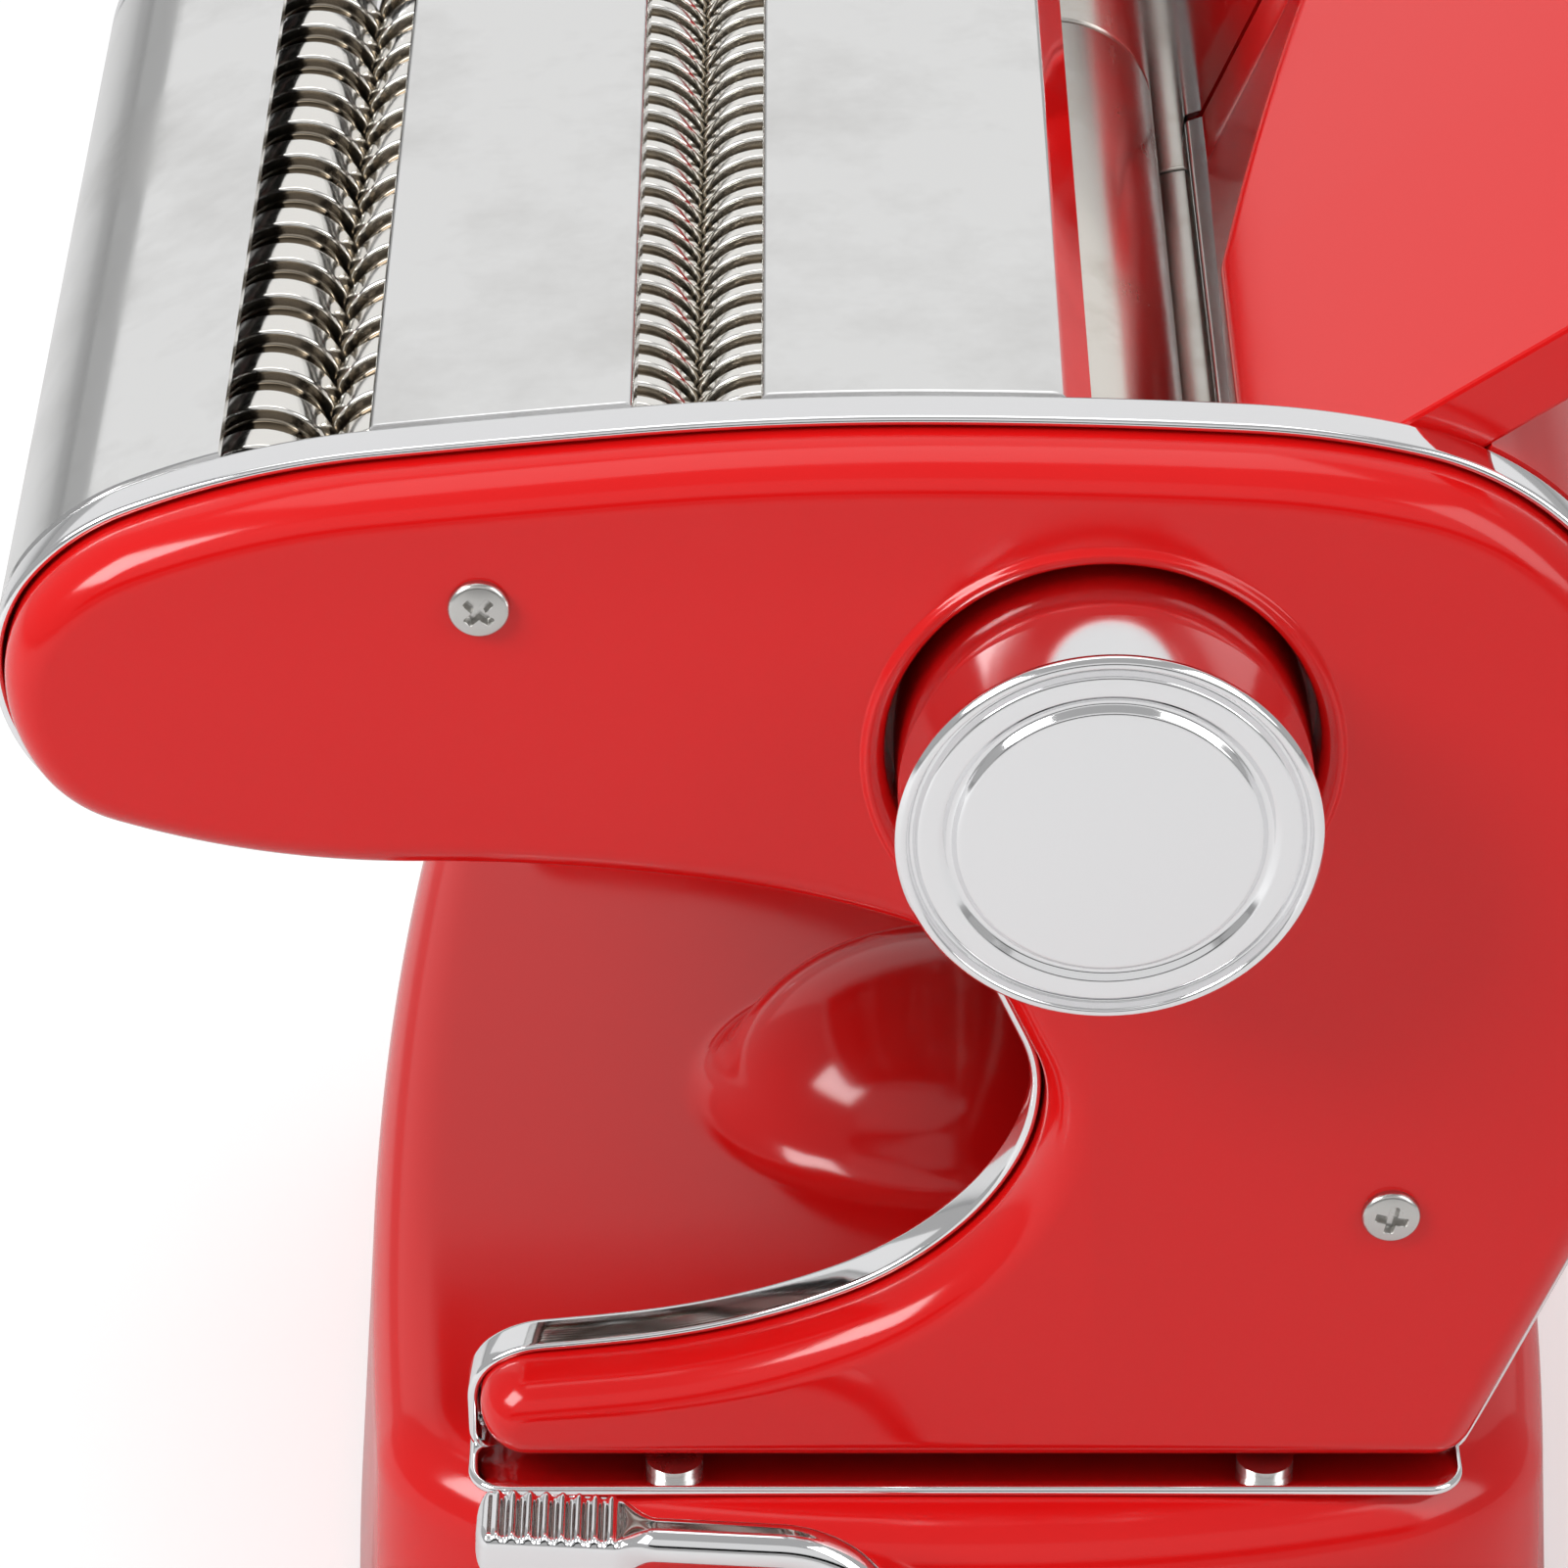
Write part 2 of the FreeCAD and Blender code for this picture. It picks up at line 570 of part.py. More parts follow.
def slab(label, left, right, bottom, top):
    """Block between two X places and two heights over the deck, as long as the rollers."""
    block = doc.addObject("Part::Box", label)
    block.setExpression("Length", "(%s) - (%s)" % (right, left))
    block.setExpression("Width", "sizes.roller_length")
    block.setExpression("Height", "(%s) - (%s)" % (top, bottom))
    for letter, expression in zip("xyz", (left, "-" + HALF, "%s + %s" % (DECK, bottom))):
        block.setExpression("Placement.Base." + letter, expression)
    return block


def top_plate(label, skin, left, right, bottom):
    """Part of the head's skin between two slots."""
    plate = doc.addObject("Part::Common", label)
    plate.Base = skin
    plate.Tool = slab(label + "_reach", left, right, bottom, "2 * sizes.crown_h")
    plate.Label = label
    return plate


def right_top_plate(skin):
    """Plate between the fine cutters and the dough rollers, with its bent feed lip."""
    sheet_part = top_plate("right_skin", skin, "sizes.fine_slot_right", "sizes.feed_slot_left",
                           "sizes.wide_h")
    doc.recompute()
    start = flat(size("feed_slot_left"), sheet_part.Shape.BoundBox.ZMax)
    edge = [v.Point for v in sheet_part.Shape.Vertexes if abs(v.X - start.x) < 1e-6]
    start = flat(start.x, max(point.z for point in edge))
    turn = math.radians(size("feed_lip_angle"))
    end = start + flat(math.cos(turn), -math.sin(turn)) * size("feed_lip")
    lip = new_body("feed_lip_sheet")
    under = flat(0, size("sheet_wall"))
    pad(lip, [loop([start, start - under, end - under, end])], "-" + HALF, "sizes.roller_length")
    return join("right_top_plate", [sheet_part, lip])


def dough_tray():
    """Sloping tray with a lip down to the driven roller and a deep edge along both sides."""
    slope = math.radians(size("tray_angle"))
    along = flat(math.cos(slope), math.sin(slope))
    down = flat(math.sin(slope), -math.cos(slope))
    to_bend = (size("tray_x") - size("tray_bend_x")) / along.x
    bend = flat(size("tray_x"), deck + size("tray_h")) - along * to_bend
    drop = math.radians(size("tray_lip_angle"))
    foot = bend + flat(math.cos(drop), -math.sin(drop)) * size("tray_lip")
    top = bend + along * size("tray_reach")
    start, end, turn = corner(foot, bend, top, size("tray_bend_radius"))
    body = new_body("dough_tray")
    width = "sizes.roller_length - 2 * sizes.tray_gap"
    near_side = "sizes.tray_gap - " + HALF
    pad(body, [strip([line(foot, start), turn, line(end, top)], -size("tray_wall"))], near_side, width)
    side = [end, top, top + down * size("tray_side"), end + down * size("tray_side")]
    pad(body, [loop(side)], near_side, "sizes.tray_wall")
    pad(body, [loop(side)], HALF + " - sizes.tray_gap - sizes.tray_wall", "sizes.tray_wall")
    return body


def back_cover():
    """Curved moulding that closes the back between the end plates."""
    body = new_body("back_cover")
    heel = flat(size("heel_x"), deck)
    edges = [line(heel, station("hip"))] + profile_edges("hip", "shoulder")
    pad(body, [strip(edges, size("back_wall"))], "-" + HALF, "sizes.roller_length")
    return body


def gear_outline(x, z, module, phase):
    """Spur gear with involute flanks drawn as arcs; the phase points one tooth."""
    teeth = int(size("gear_teeth"))
    pitch = module * teeth / 2
    base = pitch * math.cos(math.radians(size("pressure")))
    tip, root = pitch + size("gear_tip") * module, pitch - size("gear_root") * module

    def involute(radius):
        angle = math.acos(min(1.0, base / radius))
        return math.tan(angle) - angle

    def at(radius, angle):
        return flat(x + radius * math.cos(angle), z + radius * math.sin(angle))

    thick = math.pi / (2 * teeth) - size("gear_backlash") / (2 * pitch) + involute(pitch)
    spread = {radius: thick - involute(radius) for radius in (root, pitch, tip)}
    edges = []
    for k in range(teeth):
        middle = phase + 2 * math.pi * k / teeth
        gap = middle + math.pi / teeth
        following = middle + 2 * math.pi / teeth
        rise_points = [at(r, middle - spread[r]) for r in (root, pitch, tip)]
        fall_points = [at(r, middle + spread[r]) for r in (tip, pitch, root)]
        edges.append(Part.Arc(*rise_points).toShape())
        edges.append(Part.Arc(rise_points[2], at(tip, middle), fall_points[0]).toShape())
        edges.append(Part.Arc(*fall_points).toShape())
        edges.append(Part.Arc(fall_points[2], at(root, gap), at(root, following - spread[root])).toShape())
    return Part.Wire(edges)


def gear(label, x, z, spacing, shaft, phase):
    """Gear that meshes with an equal one at a centre spacing."""
    body = new_body(label)
    wires = [gear_outline(x, z, spacing / size("gear_teeth"), phase), circle(x, z, size(shaft) + size("fit"))]
    pad(body, wires, PLACES["gear_in"], "sizes.gear_width")
    return body


def cutter_roller(name, role, side):
    """Roller with cutting rings that run in the grooves of its neighbour; the driven one has a hex socket."""
    pitch = size(name + "_pitch")
    ring = pitch / 2 - size("ring_side")
    outer = size("ring_radius")
    core = size("cutter_spacing") - outer - size("ring_gap")
    reach = half - size("roller_end")
    count = int((2 * reach - ring) / pitch)
    first = -count * pitch / 2 + (0 if role == "drive" else pitch / 2)
    shaft, start = size("cutter_shaft"), -(plate_out + size("bush_flange_wall") + size("fit"))
    profile = [(0, start), (shaft, start), (shaft, -reach), (core, -reach)]
    for k in range(count if role == "drive" else count - 1):
        low = first + k * pitch
        profile += [(core, low), (outer, low), (outer, low + ring), (core, low + ring)]
    profile += [(core, reach), (shaft, reach), (shaft, shaft_out), (0, shaft_out)]
    label = "%s_cutter_%s_roller" % (name, role)
    if role != "drive":
        return turned(label, profile, cutter_x(name, side), PLACES[name + "_z"])
    blank = turned(label + "_blank", profile, cutter_x(name, side), PLACES[name + "_z"])
    return cut(label, blank, [hex_bar(label, value(cutter_x(name, side)), place(name + "_z"))])


def hex_bar(label, x, z):
    """Hexagon socket tool in the crank end of a shaft."""
    bar = new_body(label + "_socket")
    start = PLACES["shaft_out"] + " - sizes.socket_depth"
    pad(bar, [polygon(x, z, size("socket_flats"))], start, "2 * sizes.socket_depth")
    return bar


def dough_roller(label, shaft, near_end, far_end, x, z):
    """Smooth roller with a journal at each end."""
    reach, radius = half - size("roller_end"), size("roller_radius")
    stub = size(shaft)
    profile = [(0, -near_end), (stub, -near_end), (stub, -reach), (radius, -reach),
               (radius, reach), (stub, reach), (stub, far_end), (0, far_end)]
    return turned(label, profile, x, z)


def bush(label, end, shaft, wall, flange, x, z):
    """Flanged bush from the inner face of an end plate outward."""
    sign = ENDS[end]
    bore, outer = bush_radii(shaft, wall)
    lip = plate_out + size("bush_flange_wall")
    brim = outer + size(flange)
    profile = [(bore, sign * half), (outer, sign * half), (outer, sign * plate_out),
               (brim, sign * plate_out), (brim, sign * lip), (bore, sign * lip)]
    return turned(label, profile, x, z)


def bushes(end):
    """All plain bushes of one end plate."""
    pieces = []
    for name, role, side in CUTTERS:
        pieces.append(bush("%s_%s_%s_bush" % (end, name, role), end, "cutter_shaft", "cutter_bush_wall",
                           "cutter_bush_flange", cutter_x(name, side), PLACES[name + "_z"]))
    pieces.append(bush(end + "_drive_bush", end, "drive_shaft", "bush_wall", "bush_flange",
                       "sizes.drive_x", PLACES["drive_z"]))
    return group(end + "_bushes", pieces)


def bearing_block(end):
    """Sliding bearing of the upper roller, guided by the slanting slot in an end plate."""
    body = new_body(end + "_bearing_block")
    x, z, turn = place("adjust_x"), place("adjust_z"), size("pair_angle")
    length, width, lip = size("block_length"), size("block_width"), 2 * size("block_flange")
    bore = circle(x, z, size("adjust_shaft") + size("fit"))
    seat = PLACES["plate_out"] + " + sizes.block_slide"
    if end == "far":
        outer = seat + " + sizes.far_block_wall"
        pad(body, [tilted_box(x, z, length, width, turn), bore], HALF, "(%s) - (%s)" % (outer, HALF))
        pad(body, [tilted_box(x, z, length + lip, width + lip, turn), bore], seat, "sizes.far_block_wall")
        return body
    block_end = "-(%s + sizes.block_depth)" % HALF
    pad(body, [tilted_box(x, z, length, width, turn)], block_end, "sizes.block_depth")
    wing = tilted_box(x, z, length + lip, width + lip, turn)
    pad(body, [wing], "-(%s + sizes.block_flange_wall)" % seat, "sizes.block_flange_wall")
    pocket(body, [bore], "-(%s + sizes.bore_depth)" % HALF, "sizes.bore_depth")
    throw = cam_throw()
    middle = throw * (1 + math.cos(half_swing())) / 2
    across = flat(math.sin(math.radians(turn)), math.cos(math.radians(turn)))
    centre = flat(x, z) + across * middle
    slot = throw * (1 - math.cos(half_swing())) + 2 * size("cam_radius") + 4 * size("cam_room")
    wire = tilted_box(centre.x, centre.z, 2 * size("cam_radius") + 2 * size("cam_room"), slot, turn)
    pocket(body, [wire], block_end, "sizes.cam_depth")
    return body


def half_swing():
    """Half of the knob's swing in radians."""
    return math.radians(size("knob_swing") / 2)


def cam_throw():
    """Distance of the cam pin from the knob axis, which gives the gap travel over the knob's swing."""
    return size("gap_travel") / 2 / math.sin(half_swing())


def index_cup():
    """Cup on the near end plate that carries the knob shaft and the dimples of the thickness settings."""
    outer, wall = size("index_radius"), size("index_wall")
    top = plate_out + size("index_depth")
    bore = size("knob_shaft") + size("fit")
    profile = [(outer - wall, -plate_out), (outer, -plate_out), (outer, -top), (bore, -top),
               (bore, wall - top), (outer - wall, wall - top)]
    cup = turned("index_cup_blank", profile, PLACES["knob_x"], PLACES["knob_z"])
    dimples = []
    for k in range(int(size("settings"))):
        turn = "(90deg - sizes.knob_swing * 1deg * %d / (sizes.settings - 1))" % k
        x = "%s + sizes.detent_circle * cos(%s)" % (PLACES["knob_x"], turn)
        z = "%s + sizes.detent_circle * sin(%s)" % (PLACES["knob_z"], turn)
        y = "-(%s + sizes.index_depth + sizes.dimple_depth)" % PLACES["plate_out"]
        dimples.append(peg("dimple_%d" % k, "sizes.detent_pin + sizes.detent_gap",
                           "2 * sizes.dimple_depth", x, y, z, ALONG))
    return cut("index_cup", cup, dimples)


def knob_shaft():
    """Shaft of the knob with a collar inside the cup and the cam pin that moves the bearing block."""
    radius, collar = size("knob_shaft"), size("cam_collar")
    inner = plate_out + size("index_depth") - size("index_wall") - size("detent_gap")
    foot = inner - size("collar_wall")
    end = half + size("knob_front") - 2 * size("knob_wall")
    profile = [(0, -foot), (collar, -foot), (collar, -inner), (radius, -inner), (radius, -end), (0, -end)]
    shaft = turned("knob_shaft_blank", profile, PLACES["knob_x"], PLACES["knob_z"])
    throw = "sizes.gap_travel / 2 / sin(sizes.knob_swing / 2 * 1deg)"
    turn = "(sizes.pair_angle * 1deg)"
    swing = "(sizes.knob_swing / 2 * 1deg)"
    x = "%s + %s * sin(%s - %s)" % (PLACES["knob_x"], throw, turn, swing)
    z = "%s + %s * cos(%s - %s)" % (PLACES["knob_z"], throw, turn, swing)
    cup_depth = "sizes.plate_wall + sizes.index_depth - sizes.index_wall"
    foot_out = "(%s - sizes.detent_gap - sizes.collar_wall)" % cup_depth
    depth = "(sizes.block_depth - sizes.cam_depth + sizes.detent_gap)"
    pin = peg("cam_pin", "sizes.cam_radius", "%s - %s" % (foot_out, depth),
              x, "-(%s + %s)" % (HALF, foot_out), z, ALONG)
    return join("knob_shaft", [shaft, pin])


def knob_cap():
    """Polished cap with a rolled rim, a stepped face, a hub on the shaft and the detent pin."""
    radius, wall, rim = size("knob_radius"), size("knob_wall"), size("knob_rim")
    front = half + size("knob_front")
    back = front - size("knob_skirt")
    hub, bore = size("knob_hub"), size("knob_shaft") + size("fit")
    disc, step = size("knob_disc"), size("knob_groove")
    hub_back = back + 2 * wall
    inside = front - step - wall
    profile = [(0, -front), (disc, -front), (disc + step, step - front), (radius - 2 * rim, step - front),
               (radius - rim, -front), (radius - step, -front), (radius, step - front), (radius, -back),
               (radius - wall, -back), (radius - wall, -inside), (hub, -inside), (hub, -hub_back),
               (bore, -hub_back), (bore, -inside), (0, -inside)]
    cap = turned("knob_cap_blank", profile, PLACES["knob_x"], PLACES["knob_z"])
    tip = "(%s + sizes.index_depth + sizes.detent_gap)" % PLACES["plate_out"]
    head = "(%s + sizes.knob_front - sizes.knob_wall)" % HALF
    pin = peg("detent_pin", "sizes.detent_pin", "%s - %s" % (head, tip), PLACES["knob_x"], "-" + head,
              PLACES["knob_z"] + " + sizes.detent_circle", ALONG)
    return join("knob_cap", [cap, pin])


def blade(label, x, z, radius, angle):
    """Scraper blade that points at a roller from one side, as long as the rollers."""
    body = new_body(label)
    turn = math.radians(angle)
    reach = radius + size("blade_gap") + size("blade_reach") / 2
    centre = flat(x + reach * math.cos(turn), z + reach * math.sin(turn))
    wire = tilted_box(centre.x, centre.z, size("blade_reach"), size("blade_wall"), -angle)
    pad(body, [wire], "-" + HALF, "sizes.roller_length")
    return body


def scrapers():
    """Blades that part the dough from the rollers and the strips from the cutters."""
    radius = size("roller_radius")
    pieces = [blade("drive_blade", size("drive_x"), place("drive_z"), radius, size("drive_blade_angle")),
              blade("adjust_blade", place("adjust_x"), place("adjust_z"), radius, size("adjust_blade_angle"))]
    finish(group("dough_scrapers", pieces))
    for name in ("wide", "fine"):
        combs = []
        for side in (-1, 1):
            angle = 270 + side * size("comb_angle")
            combs.append(blade("%s_comb_%d" % (name, side + 1), value(cutter_x(name, side)),
                               place(name + "_z"), size("ring_radius"), angle))
        finish(group(name + "_cutter_combs", combs))


def crank():
    """Removable crank: hexagon end, neck and arm, with a riveted pin and a turning grip."""
    x, z = size("drive_x"), place("drive_z")
    arm = new_body("crank_arm_body")
    inner = PLACES["shaft_out"] + " - sizes.socket_depth + sizes.crank_end"
    shoulder = PLACES["shaft_out"] + " + sizes.crank_end"
    plane = PLACES["cover_out"] + " + sizes.crank_plane"
    hexagon = polygon(x, z, size("socket_flats") - 2 * size("hex_gap"))
    pad(arm, [hexagon], inner, "(%s) - (%s)" % (plane, inner))
    pad(arm, [circle(x, z, size("crank_neck"))], shoulder, "(%s) - (%s)" % (plane, shoulder))
    low = flat(x, z - size("crank_reach"))
    bar = stadium(flat(x, z), low, size("crank_width") / 2)
    pad(arm, [bar, circle(low.x, low.z, size("rivet_radius") + size("fit"))], plane, "sizes.crank_wall")
    arm.Label = "crank_arm"
    outer = cover_out + size("crank_plane") + size("crank_wall")
    rivet, pin, end = size("rivet_radius"), size("grip_pin"), size("grip_end")
    tip = outer + 2 * size("grip_gap") + size("grip_length")
    head = pin + 2 * end
    low_z = PLACES["drive_z"] + " - sizes.crank_reach"
    inner_face = outer - size("crank_wall")
    profile = [(0, inner_face), (rivet, inner_face), (rivet, outer), (pin, outer), (pin, tip),
               (head, tip), (head, tip + end), (0, tip + end)]
    finish(arm)
    finish(turned("grip_pin", profile, "sizes.drive_x", low_z))
    start = outer + size("grip_gap")
    finish_at = start + size("grip_length")
    bore, waist, belly = pin + size("grip_gap") / 2, size("grip_waist"), size("grip_radius")
    low, high = [flat(bore, start), flat(waist, start)], [flat(waist, finish_at), flat(bore, finish_at)]
    barrel = Part.Arc(low[1], flat(belly, (start + finish_at) / 2), high[0]).toShape()
    edges = [line(*low), barrel, line(*high), line(high[1], low[0])]
    finish(turned("crank_grip", Part.Wire(edges), "sizes.drive_x", low_z))


def base_outline(inset=0.0):
    """Plan of the base: four bowed sides and rounded corners."""
    wide, long = size("base_width") / 2, size("base_length") / 2
    side_bow, front_bow, round_radius = size("base_side_bow"), size("base_front_bow"), size("base_corner")
    x, y = wide - side_bow, long - front_bow
    u, v = x - round_radius, y - round_radius
    sides = [(flat(-u, -y), flat(u, -y), front_bow), (flat(x, -v), flat(x, v), side_bow),
             (flat(u, y), flat(-u, y), front_bow), (flat(-x, v), flat(-x, -v), side_bow)]
    edges = []
    for k, (start, end, bow) in enumerate(sides):
        following = sides[(k + 1) % 4]
        edges.append(arc(start, end, bow))
        edges += two_arcs(end, end_heading(start, end, bow, 1), following[0], end_heading(*following, -1))
    wire = Part.Wire(edges)
    return wire.makeOffset2D(-inset) if inset else wire


def end_heading(start, end, bow, side):
    """Heading of a bowed side at its end, or at its start for side -1."""
    chord = end - start
    turn = 2 * math.atan2(2 * bow, chord.Length) * side
    along = chord.normalize()
    across = Vector(-along.z, 0, along.x)
    return along * math.cos(turn) + across * math.sin(turn)


def half_dome(label, shrink):
    """Upper half of the swelling on the deck."""
    dome = doc.addObject("Part::Ellipsoid", label)
    dome.setExpression("Radius1", "sizes.dome_rise + sizes.base_wall - %s" % shrink)
    dome.setExpression("Radius2", "sizes.dome_half_x - %s" % shrink)
    dome.setExpression("Radius3", "sizes.dome_half_y - %s" % shrink)
    dome.Angle1 = 0
    dome.Angle2 = 90
    dome.setExpression("Placement.Base.z", DECK + " - sizes.base_wall")
    return dome


def base_inset():
    """How far the hollow of the base is drawn in from its plan."""
    return size("base_wall") + size("base_height") * math.tan(math.radians(size("base_draft")))


def base_shell():
    """Hollow moulded base with a rounded top edge and the dome in its middle."""
    body = new_body("base_body")
    block = rise(body, [base_outline()], "sizes.foot_height", "sizes.base_height", "-sizes.base_draft")

    def on_top(edge):
        return abs(edge.BoundBox.ZMin - deck) < 1e-4

    round_edges(body, block, "sizes.base_round", on_top)
    sink(body, [base_outline(base_inset())], "sizes.foot_height", "sizes.base_height - sizes.base_wall")
    domed = join("base_with_dome", [body, half_dome("dome_outside", "0")])
    tools = [half_dome("dome_inside", "sizes.base_wall")]
    front = "-(sizes.base_length / 2 + sizes.base_wall)"
    tools.append(peg("lever_hole", "sizes.lever_shaft + sizes.fit", "6 * sizes.base_wall",
                     "0", front, PLACES["lever_z"], ALONG))
    for end in ENDS:
        for name in FOOT_SCREWS:
            y = "%d * (%s + sizes.foot_screw_reach)" % (ENDS[end], HALF)
            tools.append(peg(end + name + "_base_hole", "sizes.screw_shank + sizes.fit",
                             "3 * sizes.base_wall", "sizes." + name, y, DECK + " - 2 * sizes.base_wall"))
    return cut("base_shell", domed, tools)


def base_floor():
    """Floor plate with the opening for the suction pad and two lugs for the lever shaft."""
    body = new_body("base_floor")
    opening = circle(0, 0, size("pad_radius") + size("floor_room"))
    outline = base_outline(base_inset() + size("floor_gap"))
    rise(body, [outline, opening], "sizes.foot_height", "sizes.floor_wall")
    bottom, axis = size("foot_height"), place("lever_z")
    lug = box_outline(-size("lug_width") / 2, bottom, size("lug_width") / 2, axis + size("lug_width") / 2)
    hole = circle(0, axis, size("lever_shaft") + size("fit"))
    away = "sizes.pad_radius + sizes.floor_room + sizes.lug_wall"
    pad(body, [lug, hole], "-(%s + sizes.lug_wall)" % away, "sizes.lug_wall")
    pad(body, [lug, hole], away, "sizes.lug_wall")
    return body


def rubber_feet():
    """Four feet under the floor plate."""
    feet = []
    for k, (side, end) in enumerate([(-1, -1), (1, -1), (1, 1), (-1, 1)]):
        feet.append(peg("foot_%d" % k, "sizes.foot_radius", "sizes.foot_height",
                        "%d * sizes.foot_inset_x" % side, "%d * sizes.foot_inset_y" % end, "0"))
    return group("rubber_feet", feet)


def suction_parts():
    """Lever, shaft with its eccentric journal, slotted stem and rubber pad."""
    axis, front = place("lever_z"), size("base_length") / 2 + size("lever_gap")
    wall, shaft = size("lever_wall"), size("lever_shaft")
    lug_end = size("pad_radius") + size("floor_room") + 3 * size("lug_wall")
    cheek, outside = size("journal_length") / 2, -front - wall
    near_profile = [(0, outside), (shaft, outside), (shaft, -cheek), (0, -cheek)]
    near = turned("lever_shaft_near", near_profile, "0", PLACES["lever_z"])
    far_profile = [(0, cheek), (shaft, cheek), (shaft, lug_end), (0, lug_end)]
    far = turned("lever_shaft_far", far_profile, "0", PLACES["lever_z"])
    throw = "(sizes.lever_lift / 2 / sin(sizes.lever_swing / 2 * 1deg))"
    swing = "(sizes.lever_swing / 2 * 1deg)"
    journal = peg("lever_journal_pin", "sizes.lever_journal", "sizes.journal_length",
                  "-%s * cos(%s)" % (throw, swing), "-sizes.journal_length / 2",
                  "%s - sizes.lever_lift / 2" % PLACES["lever_z"], ALONG)
    finish(join("lever_shaft", [near, journal, far]))
    lever = new_body("suction_lever_body")
    hub = [circle(0, axis, size("lever_hub")), circle(0, axis, shaft + size("fit"))]
    start = "-(sizes.base_length / 2 + sizes.lever_gap + sizes.lever_wall)"
    pad(lever, hub, start, "sizes.lever_wall")
    knee = flat(size("lever_knee_x"), deck + size("lever_knee_h"))
    top = flat(size("lever_top_x"), deck + size("lever_top_h"))
    tip = flat(size("lever_tip_x"), deck + size("lever_tip_h"))
    from_hub = knee - flat(0, axis)
    outset = flat(0, axis) + from_hub.normalize() * (shaft + size("lever_rod") + size("journal_room"))
    path = [line(outset, knee)] + two_arcs(knee, from_hub, top, (tip - top).normalize()) + [line(top, tip)]
    pad(lever, [Part.Wire(path).makeOffset2D(size("lever_rod"))], start, "sizes.lever_wall")
    left, thick = tip.x - size("lever_rod"), size("thumb_wall") / 2
    thumb = box_outline(left, tip.z - thick, left + size("thumb_length"), tip.z + thick)
    lever_middle = "sizes.base_length / 2 + sizes.lever_gap + sizes.lever_wall / 2"
    pad(lever, [thumb], "-(%s + sizes.thumb_width / 2)" % lever_middle, "sizes.thumb_width")
    lever.Label = "suction_lever"
    finish(lever)
    pad_top, edge, lip = size("pad_wall"), size("pad_radius"), size("pad_lip")
    disc = new_body("suction_pad")
    seat = size("stem_plate") + lip
    dish = [flat(0, 0), flat(edge, 0), flat(edge, lip), flat(seat, pad_top), flat(0, pad_top)]
    feature = disc.newObject("PartDesign::Revolution", "suction_pad_turn")
    sketch = new_sketch(disc, "XZ_Plane", [loop(dish)])
    feature.Profile = sketch
    feature.ReferenceAxis = (sketch, ["V_Axis"])
    feature.Angle = 360
    finish(disc)
    stem = new_body("suction_stem")
    rise(stem, [circle(0, 0, size("stem_plate"))], "sizes.pad_wall", "sizes.stem_plate_wall")
    middle = axis - size("lever_lift") / 2
    throw_size = size("lever_lift") / 2 / math.sin(math.radians(size("lever_swing") / 2))
    slot_height = 2 * (size("lever_journal") + size("journal_room"))
    top_z = middle + slot_height / 2 + size("lever_shaft")
    column = box_outline(-size("stem_x") / 2, pad_top, size("stem_x") / 2, top_z)
    cosine = math.cos(math.radians(size("lever_swing") / 2))
    slot_length = throw_size * (1 - cosine) + slot_height + 2 * size("journal_room")
    slot = tilted_box(-throw_size * (1 + cosine) / 2, middle, slot_length, slot_height, 0)
    pad(stem, [column, slot], "-sizes.stem_y / 2", "sizes.stem_y")
    finish(stem)


for end_name in ENDS:
    finish(end_plate(end_name))
    finish(side_cover(end_name))
    finish(cover_screws(end_name))
    finish(foot_screws(end_name))
    finish(rod_nuts(end_name))
    finish(bushes(end_name))
    finish(bearing_block(end_name))

finish(tie_rods())
skin_sheet = head_sheet()
finish(top_plate("left_top_plate", skin_sheet, "2 * sizes.nose_x", "sizes.wide_slot_left", "0"))
finish(top_plate("middle_top_plate", skin_sheet, "sizes.wide_slot_right", "sizes.fine_slot_left",
                 "sizes.rod_b_h"))
finish(right_top_plate(skin_sheet))
finish(dough_tray())
finish(back_cover())

near_end = plate_out + size("bush_flange_wall") + size("fit")
drive = dough_roller("drive_roller_blank", "drive_shaft", near_end, shaft_out,
                     "sizes.drive_x", PLACES["drive_z"])
finish(cut("drive_roller", drive, [hex_bar("drive", size("drive_x"), place("drive_z"))]))
journal_end = half + size("bore_depth") - size("detent_gap")
finish(dough_roller("adjustable_roller", "adjust_shaft", journal_end, gear_in + size("gear_width"),
                    PLACES["adjust_x"], PLACES["adjust_z"]))
closed = place("nip_open") - size("gap_travel")
toward = -math.radians(size("pair_angle"))
tooth = math.pi / size("gear_teeth")
finish(gear("drive_gear", size("drive_x"), place("drive_z"), closed, "drive_shaft", toward + math.pi))
finish(gear("adjustable_gear", place("adjust_x"), place("adjust_z"), closed, "adjust_shaft", toward + tooth))
for cutter_name, cutter_role, cutter_side in CUTTERS:
    finish(cutter_roller(cutter_name, cutter_role, cutter_side))
    turn_phase = math.pi if cutter_role == "drive" else tooth
    gear_label = "%s_cutter_%s_gear" % (cutter_name, cutter_role)
    axis_x, axis_z = value(cutter_x(cutter_name, cutter_side)), place(cutter_name + "_z")
    finish(gear(gear_label, axis_x, axis_z, size("cutter_spacing"), "cutter_shaft", turn_phase))
scrapers()
finish(index_cup())
finish(knob_shaft())
finish(knob_cap())
crank()
finish(base_shell())
finish(base_floor())
finish(rubber_feet())
suction_parts()

